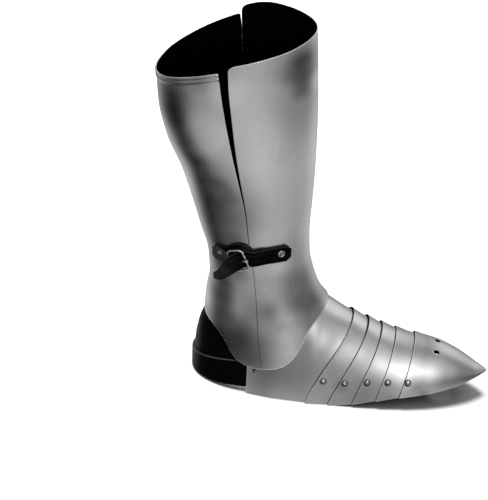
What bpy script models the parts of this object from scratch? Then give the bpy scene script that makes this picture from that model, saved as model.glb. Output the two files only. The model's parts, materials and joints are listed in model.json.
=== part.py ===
"""Steel sabaton with its hinged greave, black heel leather and ankle strap.

X runs towards the toe, +Y to the outer (hinge) side, Z up. Sizes are in millimetres here and
are turned into metres when a mesh is made. Distances along the foot are measured from the rear
edge of the side plates; MIDDLE is where the object's own origin lies on that scale.
"""
import math
from collections import namedtuple

import bmesh
import bpy
from mathutils import Matrix, Vector

MM = 0.001
MIDDLE = 78.9

STEEL = 1.2
LEATHER = 2.5
CLEARANCE = 0.4
LAME_GAP_SIDE = 0.6
LAME_GAP_TOP = 1.6
OVERLAP = 12.0

RIVET_HEAD = 3.1
RIVET_DOME = 1.9
RIVET_SHANK = 1.5
RIVET_TAIL = 2.7
TAIL_HEIGHT = 0.7
RIVET_SIDES = 8
SMALL_HEAD = 2.7
STRAP_HEAD = 4.0
DRILL_REACH = 8.0

# Leg tube of the greave: rear and front of the section on the centre line, and its half width
GreaveRow = namedtuple("GreaveRow", "height rear front half_width")
GREAVE = (
    GreaveRow(36, -55.0, 131.0, 60.6),
    GreaveRow(64, -58.0, 117.0, 60.5),
    GreaveRow(87, -60.3, 102.0, 59.4),
    GreaveRow(104, -59.6, 89.0, 58.0),
    GreaveRow(118, -58.2, 77.0, 56.6),
    GreaveRow(138, -55.3, 68.0, 54.4),
    GreaveRow(170, -57.8, 59.8, 52.4),
    GreaveRow(202, -67.6, 57.9, 54.0),
    GreaveRow(239, -78.7, 59.1, 57.4),
    GreaveRow(276, -91.1, 59.9, 62.2),
    GreaveRow(313, -107.5, 59.6, 66.2),
    GreaveRow(350, -116.2, 58.6, 67.0),
    GreaveRow(386, -118.4, 56.6, 66.8),
    GreaveRow(414, -118.8, 54.6, 67.2),
    GreaveRow(445, -119.0, 52.2, 67.8),
)
GREAVE_ROUNDNESS = 2.1

# Lower edge of the greave, seen from the side: round lobes over the ankles
EdgeRow = namedtuple("EdgeRow", "along height")
LOWER_EDGE = (
    EdgeRow(-61, 87.0), EdgeRow(-52, 84.5), EdgeRow(-42, 80.5), EdgeRow(-33, 73.0),
    EdgeRow(-27, 65.0), EdgeRow(-21, 54.5), EdgeRow(-14, 46.8), EdgeRow(-7, 42.6),
    EdgeRow(2, 41.0), EdgeRow(12, 40.6), EdgeRow(22, 41.2), EdgeRow(32, 43.4),
    EdgeRow(42, 48.0), EdgeRow(50, 55.0), EdgeRow(58, 66.5), EdgeRow(63, 78.5),
    EdgeRow(67, 88.5), EdgeRow(75, 100.8), EdgeRow(84, 108.5),
)

# Upper rims, by the turn in degrees from the shin over the outer side
RimRow = namedtuple("RimRow", "turn height")
FRONT_RIM = (
    RimRow(-100, 410.2), RimRow(-90, 415.0), RimRow(-75, 421.1), RimRow(-60, 426.5), RimRow(-45, 431.0),
    RimRow(-30, 435.3), RimRow(-15, 438.1), RimRow(0, 439.2), RimRow(15, 439.6), RimRow(30, 440.0),
    RimRow(45, 440.9), RimRow(58, 441.8), RimRow(70, 442.2), RimRow(80, 440.6), RimRow(88, 437.2),
    RimRow(96, 433.2), RimRow(106, 428.2),
)
CALF_RIM = (
    RimRow(80, 431.4), RimRow(96, 424.3), RimRow(109, 416.8), RimRow(118, 411.6), RimRow(128, 405.9),
    RimRow(139, 400.2), RimRow(153, 394.2), RimRow(173, 387.7), RimRow(195, 385.8), RimRow(210, 387.5),
    RimRow(225, 391.3), RimRow(240, 396.9), RimRow(255, 403.4), RimRow(270, 410.5), RimRow(285, 417.5),
)
RIM_CORNER = 5.0
PLATE_ARC = 190.0

# Rolled bead round the calf plate's rim: distance below the rim, and how far it stands out
BeadRow = namedtuple("BeadRow", "drop rise")
BEAD = (BeadRow(9.0, 0.0), BeadRow(6.3, 1.3), BeadRow(3.2, 1.3), BeadRow(0.0, 0.65))

# Seams between the two greave plates: the front plate's inner edge, the gap there, and its outer edge
SeamRow = namedtuple("SeamRow", "height along gap outer")
SEAM = (
    SeamRow(36, 18.5, 0.6, 18.5), SeamRow(66, 14.5, 0.6, 14.5), SeamRow(87, 12.0, 0.6, 12.0),
    SeamRow(125, 8.5, 0.6, 8.0), SeamRow(158, 4.3, 0.6, 3.2), SeamRow(205, -3.4, 0.6, -5.2),
    SeamRow(240, -7.0, 0.8, -9.8), SeamRow(290, -15.0, 2.6, -18.8), SeamRow(324, -20.3, 4.6, -25.5),
    SeamRow(357, -24.8, 7.0, -31.5), SeamRow(390, -29.0, 8.6, -36.4), SeamRow(425, -31.0, 11.4, -38.6),
)
OUTER_GAP = 1.0

# Arch over the foot: half width, lower edge, crown and how square the section is
FootRow = namedtuple("FootRow", "along half_width low top roundness")
FOOT = (
    FootRow(0, 53.0, 0.0, 133.0, 2.7),
    FootRow(37, 56.8, 0.0, 121.5, 2.7),
    FootRow(74, 57.3, 0.0, 107.6, 2.7),
    FootRow(84, 56.7, 0.0, 102.6, 2.6),
    FootRow(101, 55.4, 0.0, 93.2, 2.45),
    FootRow(114, 55.0, 1.7, 87.0, 2.35),
    FootRow(129, 54.4, 5.2, 80.3, 2.3),
    FootRow(156, 52.6, 12.6, 70.0, 2.3),
    FootRow(184, 48.8, 18.9, 64.0, 2.3),
    FootRow(212, 42.2, 23.0, 61.6, 2.3),
    FootRow(239, 31.6, 28.2, 53.8, 2.3),
    FootRow(255, 22.5, 32.2, 46.2, 2.3),
    FootRow(267, 13.0, 35.2, 40.6, 2.3),
    FootRow(277, 2.0, 37.0, 38.6, 2.3),
)
TOE_TIP = 277.0
ARCH_COLUMNS = 20

# Visible rear edges of the lames and toe cap: where each meets the sole line and the crown
LineRow = namedtuple("LineRow", "node low crown rivet_along rivet_height")
LINES = (
    LineRow("lame_1", 70.8, 116.4, 90.5, 33.0),
    LineRow("lame_2", 97.0, 135.2, 115.3, 32.4),
    LineRow("lame_3", 125.0, 151.4, 141.0, 35.6),
    LineRow("lame_4", 152.7, 168.0, 164.5, 37.7),
    LineRow("toe_cap", 179.3, 190.4, 187.4, 38.4),
)
LINE_SLANT = 0.87
ANKLE_OPENING_CROWN = 70.0
SIDE_WING_SHARE = 0.5
TOE_STEEL = 8.0

LACE_HOLE_ALONG = 216.4
LACE_HOLE_SIDE = 12.0
LACE_HOLE_RADIUS = 2.7
LACE_HOLE_LEAN = (0.25, 0.2)
LACE_HOLE_SIDES = 14

# Hinges on the outer side, by the height of their middle
HingeRow = namedtuple("HingeRow", "height seat")
HINGES = {"upper": HingeRow(303.0, 1.3), "lower": HingeRow(66.0, 0.8)}
BARREL_LENGTH = 26.0
BARREL_RADIUS = 3.2
BARREL_BORE = 1.9
PIN_RADIUS = 1.5
KNUCKLE_SIDES = 8
LEAF_WIDTH = 19.0
LEAF_HEIGHT = 24.0
LEAF_START = 4.2
LEAF_STEEL = 0.9
LEAF_RIVET_ALONG = 13.5
LEAF_RIVET_UP = 6.5
WEB_START = 0.2
WEB_LAP = 1.0
WEB_MARGIN = 0.1
PIN_END = 0.6
PIN_CHAMFER = 0.4
NOTCH_MARGIN = 0.6
NOTCH_DEPTH = 8.0
NOTCH_END = 1.2
BOX_FACES = ((0, 1, 3, 2), (4, 6, 7, 5), (0, 4, 5, 1), (2, 3, 7, 6), (0, 2, 6, 4), (1, 5, 7, 3))

# Heel leather, in plan a half ellipse behind the side plates
HeelRow = namedtuple("HeelRow", "height rear half_width")
COUNTER = (
    HeelRow(8, -69.6, 47.8), HeelRow(28, -71.2, 47.9), HeelRow(43, -70.7, 47.6),
    HeelRow(56, -68.7, 46.4), HeelRow(70, -65.6, 43.8), HeelRow(81, -61.3, 42.0), HeelRow(94, -55.6, 40.6),
)
HEEL_BAND_REAR = 74.6
HEEL_BAND_HALF = 50.8
HEEL_BAND_FRONT = 19.0
HEEL_BAND_TOP = (27.5, 43.5)
HEEL_BAND_LOW = (2.0, 7.5)
HEEL_RIVET = (9.4, 34.0)
COUNTER_FRONT = 14.0
COUNTER_LEATHER = 2.0
HEEL_COLUMNS = 13

ANKLE_STUD = (48.0, 68.0)
STUD_RADIUS = 2.4
STUD_FOOT_RADIUS = 4.2
STUD_FOOT = 1.4

# Ankle strap on the inner side, measured along the foot and up
STRAP_WIDTH = 19.0
STRAP_SEAT = 0.9
STRAP_LEVEL = 191.0
STRAP_END = 41.0
STRAP_STRAIGHT = 2.0
STRAP_CORNER = 4.5
STRAP_STEPS = 7
STRAP_DROP = 5.0
STRAP_RIVET = (31.2, 192.1)
BUCKLE_MIDDLE = (-12.6, 183.8)
BUCKLE_WIDTH = 17.0
BUCKLE_HEIGHT = 26.0
BUCKLE_TILT = math.radians(21)
BUCKLE_CORNER = 5.0
BUCKLE_LIFT = (6.2, 7.4)
PRONG_START = (-6.8, 185.6)
PRONG_END = (-2.0, 187.4)
PRONG_LIFT = (9.9, 10.1, 10.2, 10.3, 9.9)
WIRE_RADIUS = 1.25

# The strap past the straight part: its upper and lower edge, and how far off the steel it lies
TailRow = namedtuple("TailRow", "high_along high low_along low lift")
STRAP_TAIL = (
    TailRow(-3.0, 196.0, 0.0, 176.5, 2.7), TailRow(-9.0, 197.0, -1.6, 176.4, 2.8),
    TailRow(-12.8, 195.6, -5.4, 175.8, 4.8), TailRow(-16.6, 193.0, -8.8, 174.0, 7.4),
    TailRow(-19.8, 189.8, -12.6, 170.4, 8.8), TailRow(-24.2, 182.6, -17.6, 164.4, 9.0),
    TailRow(-28.0, 174.4, -23.4, 157.8, 8.8), TailRow(-31.8, 165.4, -29.4, 152.6, 7.8),
    TailRow(-38.0, 157.2, -37.4, 149.0, 6.2),
)

CHAPE_END = -43.5
CHAPE_FOLD = -26.9
CHAPE_STEPS = 3
CHAPE_CORNER = 4.0
CHAPE_LEATHER = 2.0
CHAPE_WIDTH = 20.0
CHAPE_LEVEL = 183.4
CHAPE_RIVET = (-33.5, 186.4)

# Pad behind the buckle: its upper edge
PadRow = namedtuple("PadRow", "along top")
PAD = (
    PadRow(0.0, 197.5), PadRow(-4.0, 201.5), PadRow(-12.0, 203.5), PadRow(-21.0, 201.0),
    PadRow(-29.5, 195.0), PadRow(-35.5, 194.0), PadRow(-41.5, 193.8),
)
PAD_LOW = 182.0
PAD_THICKNESS = 1.4

FINISHES = {
    "steel": ((0.56, 0.57, 0.58, 1.0), 1.0, 0.3),
    "bright": ((0.75, 0.75, 0.76, 1.0), 1.0, 0.2),
    "leather": ((0.012, 0.012, 0.013, 1.0), 0.0, 0.4),
}


def start_empty():
    """Remove whatever the scene holds."""
    for thing in list(bpy.data.objects):
        bpy.data.objects.remove(thing, do_unlink=True)


def curve_through(rows, name):
    """Smooth curve through one column of a table, without overshoot between its rows."""
    keys = [row[0] for row in rows]
    values = [getattr(row, name) for row in rows]
    count = len(keys)
    steps = [keys[i + 1] - keys[i] for i in range(count - 1)]
    slopes = [(values[i + 1] - values[i]) / steps[i] for i in range(count - 1)]
    tangents = [slopes[0]] + [0.0] * (count - 2) + [slopes[-1]]
    for i in range(1, count - 1):
        if slopes[i - 1] * slopes[i] > 0:
            before = 2 * steps[i] + steps[i - 1]
            after = steps[i] + 2 * steps[i - 1]
            tangents[i] = (before + after) / (before / slopes[i - 1] + after / slopes[i])

    def value(at):
        at = min(max(at, keys[0]), keys[-1])
        i = 0
        while i < count - 2 and at > keys[i + 1]:
            i += 1
        s = (at - keys[i]) / steps[i]
        rise = s * s * (3 - 2 * s)
        leave = s * (1 - s) ** 2 * steps[i] * tangents[i]
        arrive = s * s * (s - 1) * steps[i] * tangents[i + 1]
        return values[i] + (values[i + 1] - values[i]) * rise + leave + arrive

    return value


GREAVE_REAR = curve_through(GREAVE, "rear")
GREAVE_FRONT = curve_through(GREAVE, "front")
GREAVE_HALF = curve_through(GREAVE, "half_width")
EDGE_HEIGHT = curve_through(LOWER_EDGE, "height")
SEAM_ALONG = curve_through(SEAM, "along")
SEAM_GAP = curve_through(SEAM, "gap")
OUTER_ALONG = curve_through(SEAM, "outer")
FRONT_RIM_HEIGHT = curve_through(FRONT_RIM, "height")
CALF_RIM_HEIGHT = curve_through(CALF_RIM, "height")
FOOT_HALF = curve_through(FOOT, "half_width")
FOOT_LOW = curve_through(FOOT, "low")
FOOT_TOP = curve_through(FOOT, "top")
FOOT_ROUND = curve_through(FOOT, "roundness")


def signed_power(value, power):
    """Power of a number that keeps its sign."""
    return math.copysign(abs(value) ** power, value)


def stretch(curve, at):
    """How much longer a lift along one axis is than the same lift square to the surface."""
    return math.hypot(1.0, (curve(at + 1.0) - curve(at - 1.0)) / 2.0)


def greave_point(angle, height, lift=0.0):
    """Point of the leg tube; angle 0 is the shin, 90 degrees the outer side."""
    front = GREAVE_FRONT(height) + lift * stretch(GREAVE_FRONT, height)
    rear = GREAVE_REAR(height) - lift * stretch(GREAVE_REAR, height)
    half = GREAVE_HALF(height) + lift
    power = 2.0 / GREAVE_ROUNDNESS
    centre = (front + rear) / 2
    along = centre + (front - centre) * signed_power(math.cos(angle), power)
    return Vector((along, half * signed_power(math.sin(angle), power), height))


def greave_angle(along, height):
    """Angle, from 0 to pi, at which the leg tube reaches a distance along the foot."""
    front, rear = GREAVE_FRONT(height), GREAVE_REAR(height)
    share = (along - (front + rear) / 2) / ((front - rear) / 2)
    share = min(max(share, -1.0), 1.0)
    return math.acos(signed_power(share, GREAVE_ROUNDNESS / 2))


def inner_side_point(along, height, lift=0.0):
    """Point on the greave's inner side at a distance along the foot."""
    return greave_point(-greave_angle(along, height), height, lift)


def foot_point(along, turn, lift=0.0):
    """Point of the arch over the foot; turn runs from the outer lower edge over the crown."""
    half = FOOT_HALF(along) + lift * stretch(FOOT_HALF, along)
    top = FOOT_TOP(along) + lift * stretch(FOOT_TOP, along)
    low = FOOT_LOW(along)
    power = 2.0 / FOOT_ROUND(along)
    side = half * signed_power(math.cos(turn), power)
    return Vector((along, side, low + (top - low) * abs(math.sin(turn)) ** power))


def foot_turn(along, height):
    """Turn at which the arch reaches a height on the outer side."""
    low, top = FOOT_LOW(along), FOOT_TOP(along)
    return math.asin(((height - low) / (top - low)) ** (FOOT_ROUND(along) / 2))


def surface_normal(point_at, u, v, step=0.01):
    """Unit normal of a two-parameter surface, pointing away from the leg or foot."""
    along_u = point_at(u + step, v) - point_at(u - step, v)
    along_v = point_at(u, v + step) - point_at(u, v - step)
    return along_u.cross(along_v).normalized()


def to_world(point):
    """Millimetres from the side plates' rear edge, as metres from the origin."""
    return Vector(((point[0] - MIDDLE) * MM, point[1] * MM, point[2] * MM))


def material(name):
    """One finish as a Principled material."""
    colour, metallic, roughness = FINISHES[name]
    made = bpy.data.materials.get(name) or bpy.data.materials.new(name)
    made.use_nodes = True
    shader = made.node_tree.nodes["Principled BSDF"]
    shader.inputs["Base Color"].default_value = colour
    shader.inputs["Metallic"].default_value = metallic
    shader.inputs["Roughness"].default_value = roughness
    return made


def add_object(name, mesh, finish):
    """Put a mesh in the scene as a named, smooth-shaded object."""
    made = bpy.data.objects.new(name, mesh)
    bpy.context.collection.objects.link(made)
    mesh.materials.append(material(finish))
    mesh.shade_smooth()
    mesh.set_sharp_from_angle(angle=math.radians(35))
    return made


def mesh_from(name, points, faces):
    """Closed mesh in metres with its faces pointing out."""
    mesh = bpy.data.meshes.new(name)
    mesh.from_pydata([to_world(p) for p in points], [], faces)
    work = bmesh.new()
    work.from_mesh(mesh)
    bmesh.ops.remove_doubles(work, verts=work.verts, dist=1e-6)
    bmesh.ops.recalc_face_normals(work, faces=work.faces)
    work.to_mesh(mesh)
    work.free()
    return mesh


def sheet(name, outer, inner, finish):
    """Sheet between two grids of points, closed along its four borders."""
    rows, columns = len(outer), len(outer[0])
    points = [p for grid in (outer, inner) for row in grid for p in row]
    back = rows * columns

    def index(row, column):
        return row * columns + column

    faces = []
    for row in range(rows - 1):
        for column in range(columns - 1):
            quad = [index(row, column), index(row + 1, column),
                    index(row + 1, column + 1), index(row, column + 1)]
            faces.append(quad)
            faces.append([back + corner for corner in reversed(quad)])
    border = [index(0, c) for c in range(columns)]
    border += [index(r, columns - 1) for r in range(1, rows)]
    border += [index(rows - 1, c) for c in range(columns - 2, -1, -1)]
    border += [index(r, 0) for r in range(rows - 2, 0, -1)]
    for here, there in zip(border, border[1:] + border[:1]):
        faces.append([here, there, back + there, back + here])
    return add_object(name, mesh_from(name, points, faces), finish)


def put_origin(made, point):
    """Move an object's origin to a point and leave its shape where it is."""
    place = to_world(point)
    made.data.transform(Matrix.Translation(-place))
    made.location = place


def turned(name, profile, centre, axis, finish, sides=RIVET_SIDES):
    """Solid turned round an axis from (radius, distance along the axis) points."""
    square = axis.to_track_quat("Z", "Y").to_matrix()
    points, faces = [], []
    rings = []
    for radius, distance in profile:
        if radius == 0:
            rings.append([len(points)])
            points.append(centre + axis * distance)
            continue
        rings.append(list(range(len(points), len(points) + sides)))
        for i in range(sides):
            angle = 2 * math.pi * (i + 0.5) / sides
            spoke = square @ Vector((math.cos(angle), math.sin(angle), 0.0))
            points.append(centre + spoke * radius + axis * distance)
    for before, after in zip(rings, rings[1:]):
        for i in range(sides):
            j = (i + 1) % sides
            corners = [before[i % len(before)], before[j % len(before)],
                       after[j % len(after)], after[i % len(after)]]
            faces.append(list(dict.fromkeys(corners)))
    return add_object(name, mesh_from(name, points, faces), finish)


def rivet(name, seat, axis, grip, head=RIVET_HEAD):
    """Domed rivet: its head above the seat, its shank through the grip, its tail inside."""
    tail = grip + 2 * CLEARANCE
    profile = (
        (0, CLEARANCE + RIVET_DOME), (head * 0.65, CLEARANCE + RIVET_DOME * 0.8),
        (head, CLEARANCE), (RIVET_SHANK, CLEARANCE), (RIVET_SHANK, -tail), (RIVET_TAIL, -tail),
        (RIVET_TAIL, -tail - TAIL_HEIGHT), (0, -tail - TAIL_HEIGHT),
    )
    return turned(name, profile, seat, axis, "bright")


def cutter(name, mesh, targets):
    """Hidden object that is cut out of each target."""
    made = bpy.data.objects.new(name, mesh)
    bpy.context.collection.objects.link(made)
    made.hide_render = True
    made.display_type = "WIRE"
    for target in targets:
        cut = target.modifiers.new(name, "BOOLEAN")
        cut.operation = "DIFFERENCE"
        cut.solver = "EXACT"
        cut.object = made
    return made


def drill(name, holes, targets, sides=RIVET_SIDES):
    """Cut round holes, each given as (centre, axis, radius, half length), through the targets."""
    work = bmesh.new()
    for centre, axis, radius, reach in holes:
        turn = axis.to_track_quat("Z", "Y").to_matrix().to_4x4()
        place = Matrix.Translation(to_world(centre)) @ turn
        bmesh.ops.create_cone(work, cap_ends=True, segments=sides, radius1=radius * MM,
                              radius2=radius * MM, depth=2 * reach * MM, matrix=place)
    mesh = bpy.data.meshes.new(name)
    work.to_mesh(mesh)
    work.free()
    return cutter(name, mesh, targets)


def settle(height, target):
    """Height at which a plate's column meets an edge that depends on that height."""
    for _ in range(40):
        height += 0.5 * (target(height) - height)
    return height


def plate_angles(is_front, height):
    """The angles of a greave plate's two vertical edges, inner side first."""
    outer_edge = OUTER_ALONG(height) - (0.0 if is_front else OUTER_GAP)
    inner_edge = SEAM_ALONG(height) - (0.0 if is_front else SEAM_GAP(height))
    if is_front:
        return -greave_angle(inner_edge, height), greave_angle(outer_edge, height)
    return 2 * math.pi - greave_angle(inner_edge, height), greave_angle(outer_edge, height)


def greave_grid(is_front, columns, rows, lift):
    """Rows of points over one greave plate, from its lower edge to its rim."""
    rim_height = FRONT_RIM_HEIGHT if is_front else CALF_RIM_HEIGHT
    corner = RIM_CORNER / PLATE_ARC
    shares = [0.0, corner / 3, corner]
    shares += [i / columns for i in range(1, columns)]
    shares += [1 - corner, 1 - corner / 3, 1.0]
    grid = []
    for share in shares:
        def angle_at(height):
            start, end = plate_angles(is_front, height)
            return start + (end - start) * share

        def edge_at(height):
            return EDGE_HEIGHT(greave_point(angle_at(height), height).x)

        def rim_at(height):
            off_edge = min(share, 1 - share) * PLATE_ARC
            into = max(RIM_CORNER - off_edge, 0.0)
            rim = rim_height(math.degrees(angle_at(height)))
            return rim - RIM_CORNER + math.sqrt(RIM_CORNER ** 2 - into ** 2)

        low = settle(70.0, edge_at)
        high = settle(410.0, rim_at)
        bead = () if is_front else BEAD
        body_top = high - bead[0].drop if bead else high
        steps = [(low + (body_top - low) * (i / rows) ** 1.25, 0.0) for i in range(rows)]
        steps += [(high - step.drop, step.rise) for step in bead] or [(high, 0.0)]
        grid.append([greave_point(angle_at(height), height, lift + rise) for height, rise in steps])
    return grid


def greave_plate(name, is_front, columns, rows):
    """One half of the greave."""
    outer = greave_grid(is_front, columns, rows, 0.0)
    inner = greave_grid(is_front, columns, rows, -STEEL)
    return sheet(name, outer, inner, "steel")


def line_at(low, crown, turn):
    """Distance along the foot of a slanting edge at one turn."""
    return low + (crown - low) * abs(math.sin(turn)) ** LINE_SLANT


def layer(turn):
    """Steel and gap between two overlapping plates."""
    side = LAME_GAP_SIDE + (LAME_GAP_TOP - LAME_GAP_SIDE) * abs(math.sin(turn))
    return STEEL + side


def plate_front(index, turn):
    """Front edge of the plate behind line number index."""
    line = LINES[index]
    return line_at(line.low, line.crown, turn) + OVERLAP


def plate_lift(index, along, turn):
    """Lift of the plate behind line number index; each plate slopes down under the next one."""
    if index == len(LINES):
        line = LINES[-1]
        under = line_at(line.low, line.crown, turn) + OVERLAP
        if along < under:
            return layer(turn) * (1 + (under - along) / visible(index - 1, turn))
        return layer(turn) * (TOE_TIP - along) / (TOE_TIP - under)
    reach = plate_front(index, turn) - along
    if index == 0:
        reach = min(reach, OVERLAP)
    return layer(turn) * reach / visible(max(index, 1), turn)


def visible(index, turn):
    """Visible width of the plate behind line number index."""
    here, behind = LINES[index], LINES[index - 1]
    return line_at(here.low, here.crown, turn) - line_at(behind.low, behind.crown, turn)


def rear_wing(turn):
    """Rear edge of the rear plate: upright at the sides, running forward over the instep."""
    share = abs(math.sin(turn)) ** 0.8
    past = max(share - SIDE_WING_SHARE, 0.0) / (1 - SIDE_WING_SHARE)
    return ANKLE_OPENING_CROWN * past ** 0.8


def foot_plate(name, index, columns, rows):
    """A plate of the foot's arch; index counts the lines in front of it."""
    def span(turn):
        if index == 0:
            return rear_wing(turn), plate_front(0, turn)
        behind = LINES[index - 1]
        return line_at(behind.low, behind.crown, turn), plate_front(index, turn)

    grids = []
    for inward in (0.0, STEEL):
        grid = []
        for row in range(rows + 1):
            line = []
            for column in range(columns + 1):
                turn = math.pi * column / columns
                rear, front = span(turn)
                along = rear + (front - rear) * row / rows
                line.append(foot_point(along, turn, plate_lift(index, along, turn) - inward))
            grid.append(line)
        grids.append(grid)
    return sheet(name, grids[0], grids[1], "steel")


def toe_cap(name, columns, rows):
    """The pointed cap, open below, closed at its tip."""
    line = LINES[-1]
    count = len(LINES)
    grids = []
    for inward, tip in ((0.0, TOE_TIP - 1.0), (STEEL, TOE_TIP - TOE_STEEL)):
        grid = []
        for row in range(rows + 1):
            ring = []
            for column in range(columns + 1):
                turn = math.pi * column / columns
                rear = line_at(line.low, line.crown, turn)
                along = rear + (tip - rear) * (row / rows) ** 0.85
                ring.append(foot_point(along, turn, plate_lift(count, along, turn) - inward))
            grid.append(ring)
        grids.append(grid)
    return sheet(name, grids[0], grids[1], "steel")


def lame_rivets(plates):
    """Rivets through each pair of overlapping plates, in round holes, on the joints' axes."""
    holes = {}
    for index, line in enumerate(LINES):
        for side, mark in ((1, "outer"), (-1, "inner")):
            turn = foot_turn(line.rivet_along, line.rivet_height)
            lift = plate_lift(index + 1, line.rivet_along, turn)
            seat = foot_point(line.rivet_along, turn, lift)
            axis = surface_normal(lambda u, v: foot_point(u, v, lift), line.rivet_along, turn)
            axis = axis if axis.y > 0 else -axis
            if side < 0:
                seat.y, axis.y = -seat.y, -axis.y
            grip = layer(turn) + STEEL
            pin = rivet(f"{line.node}_rivet_{mark}", seat, axis, grip)
            put_origin(pin, (line.rivet_along, 0.0, line.rivet_height))
            for plate in (plates[index], plates[index + 1]):
                holes.setdefault(plate.name, []).append((seat, axis, RIVET_SHANK + CLEARANCE, grip + 3))
    for plate in plates:
        drill(plate.name + "_rivet_holes", holes[plate.name], [plate])
    for line, plate in zip(LINES, plates[1:]):
        put_origin(plate, (line.rivet_along, 0.0, line.rivet_height))


def lace_holes(cap):
    """The two round holes on top of the toe cap."""
    holes = []
    for side in (LACE_HOLE_SIDE, -LACE_HOLE_SIDE):
        centre = Vector((LACE_HOLE_ALONG, side, FOOT_TOP(LACE_HOLE_ALONG)))
        forward, outward = LACE_HOLE_LEAN
        axis = Vector((forward, math.copysign(outward, side), 1.0)).normalized()
        holes.append((centre, axis, LACE_HOLE_RADIUS, DRILL_REACH))
    drill("lace_holes", holes, [cap], LACE_HOLE_SIDES)


def outer_seam_frame(height):
    """Middle of the seam on the outer side at a height, with its tangent and outward directions."""
    def at(level):
        along = OUTER_ALONG(level) - OUTER_GAP / 2
        return greave_point(greave_angle(along, level), level)

    up = (at(height + 5) - at(height - 5)).normalized()
    angle = greave_angle(OUTER_ALONG(height), height)
    ahead = greave_point(angle - 0.02, height) - greave_point(angle + 0.02, height)
    ahead = (ahead - up * ahead.dot(up)).normalized()
    out = up.cross(ahead)
    out = out if out.y > 0 else -out
    return at(height), up, ahead, out.normalized()


def knuckle(name, centre, up, half):
    """Short tube round the hinge pin."""
    square = up.to_track_quat("Z", "Y").to_matrix()
    n = KNUCKLE_SIDES
    points, faces = [], []
    for distance in (-half, half):
        for radius in (BARREL_BORE, BARREL_RADIUS):
            for i in range(n):
                angle = 2 * math.pi * i / n
                spoke = square @ Vector((math.cos(angle), math.sin(angle), 0.0))
                points.append(centre + spoke * radius + up * distance)
    for i in range(n):
        j = (i + 1) % n
        faces += [[i, j, n + j, n + i], [2 * n + i, 3 * n + i, 3 * n + j, 2 * n + j],
                  [n + i, n + j, 3 * n + j, 3 * n + i], [i, 2 * n + i, 2 * n + j, j]]
    return mesh_from(name, points, faces)


def join_to(plate, name, mesh):
    """Add a hidden solid to a plate."""
    made = bpy.data.objects.new(name, mesh)
    bpy.context.collection.objects.link(made)
    made.hide_render = True
    made.display_type = "WIRE"
    joined = plate.modifiers.new(name, "BOOLEAN")
    joined.operation = "UNION"
    joined.solver = "EXACT"
    joined.object = made


def leaf(name, is_front, height, seat):
    """One hinge leaf behind its plate, with its knuckles round the pin."""
    middle, up, ahead, out = outer_seam_frame(height)
    direction = 1 if is_front else -1
    grids = []
    for lift in (-STEEL - seat, -STEEL - seat - LEAF_STEEL):
        grid = []
        for i in range(5):
            reach = LEAF_START + (LEAF_WIDTH - LEAF_START) * i / 4
            row = []
            for j in range(4):
                level = height + LEAF_HEIGHT * (j / 3 - 0.5)
                along = OUTER_ALONG(level) - OUTER_GAP / 2 + direction * reach
                row.append(greave_point(greave_angle(along, level), level, lift))
            grid.append(row)
        grids.append(grid)
    plate = sheet(name, grids[0], grids[1], "steel")
    share = BARREL_LENGTH / 3
    half = share / 2 - CLEARANCE / 2
    for band in (0,) if is_front else (-1, 1):
        centre = middle + up * (band * share)
        web = [centre + up * level + out * depth + ahead * (direction * reach)
               for level in (-half, half)
               for depth in (-STEEL - seat - WEB_MARGIN, -STEEL - seat - LEAF_STEEL + WEB_MARGIN)
               for reach in (WEB_START, LEAF_START + WEB_LAP)]
        join_to(plate, f"{name}_web", mesh_from(f"{name}_web", web, BOX_FACES))
        join_to(plate, f"{name}_knuckle", knuckle(f"{name}_knuckle", centre, up, half))
    return plate


def hinge(label, front_plate, calf_plate):
    """Two leaves, a pin, four rivets, and the notch for the barrel between the plates."""
    height, leaf_seat = HINGES[label]
    middle, up, ahead, out = outer_seam_frame(height)
    reach = BARREL_LENGTH / 2 + PIN_END
    pin = ((0, reach + PIN_CHAMFER), (PIN_RADIUS * 0.8, reach + PIN_CHAMFER), (PIN_RADIUS, reach),
           (PIN_RADIUS, -reach), (PIN_RADIUS * 0.8, -reach - PIN_CHAMFER), (0, -reach - PIN_CHAMFER))
    turned(f"{label}_hinge_pin", pin, middle, up, "bright")
    half = BARREL_RADIUS + NOTCH_MARGIN
    length = BARREL_LENGTH / 2 + NOTCH_END
    corners = [middle + ahead * a * half + out * b * NOTCH_DEPTH + up * c * length
               for a in (-1, 1) for b in (-1, 1) for c in (-1, 1)]
    notch = mesh_from(f"{label}_hinge_notch", corners, BOX_FACES)
    cutter(f"{label}_hinge_notch", notch, [front_plate, calf_plate])
    for direction, plate, mark in ((1, front_plate, "front"), (-1, calf_plate, "calf")):
        hinge_leaf = leaf(f"{label}_hinge_{mark}_leaf", direction > 0, height, leaf_seat)
        holes = []
        for step, word in ((1, "top"), (-1, "low")):
            level = height + step * LEAF_RIVET_UP
            along = OUTER_ALONG(level) + direction * LEAF_RIVET_ALONG
            angle = greave_angle(along, level)
            seat = greave_point(angle, level)
            axis = surface_normal(greave_point, angle, level)
            axis = axis if axis.y > 0 else -axis
            grip = STEEL + leaf_seat + LEAF_STEEL
            rivet(f"{label}_hinge_rivet_{mark}_{word}", seat, axis, grip, SMALL_HEAD)
            holes.append((seat, axis, RIVET_SHANK + CLEARANCE, DRILL_REACH))
        drill(f"{label}_{mark}_hinge_holes", holes, [plate, hinge_leaf])


def heel_ring(rear, half, front):
    """Plan of the heel leather: straight beside the foot, half an ellipse behind it."""
    ring = [(front, half)]
    for i in range(HEEL_COLUMNS + 1):
        angle = math.pi * i / HEEL_COLUMNS
        ring.append((-rear * math.sin(angle), half * math.cos(angle)))
    return ring + [(front, -half)]


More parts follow.
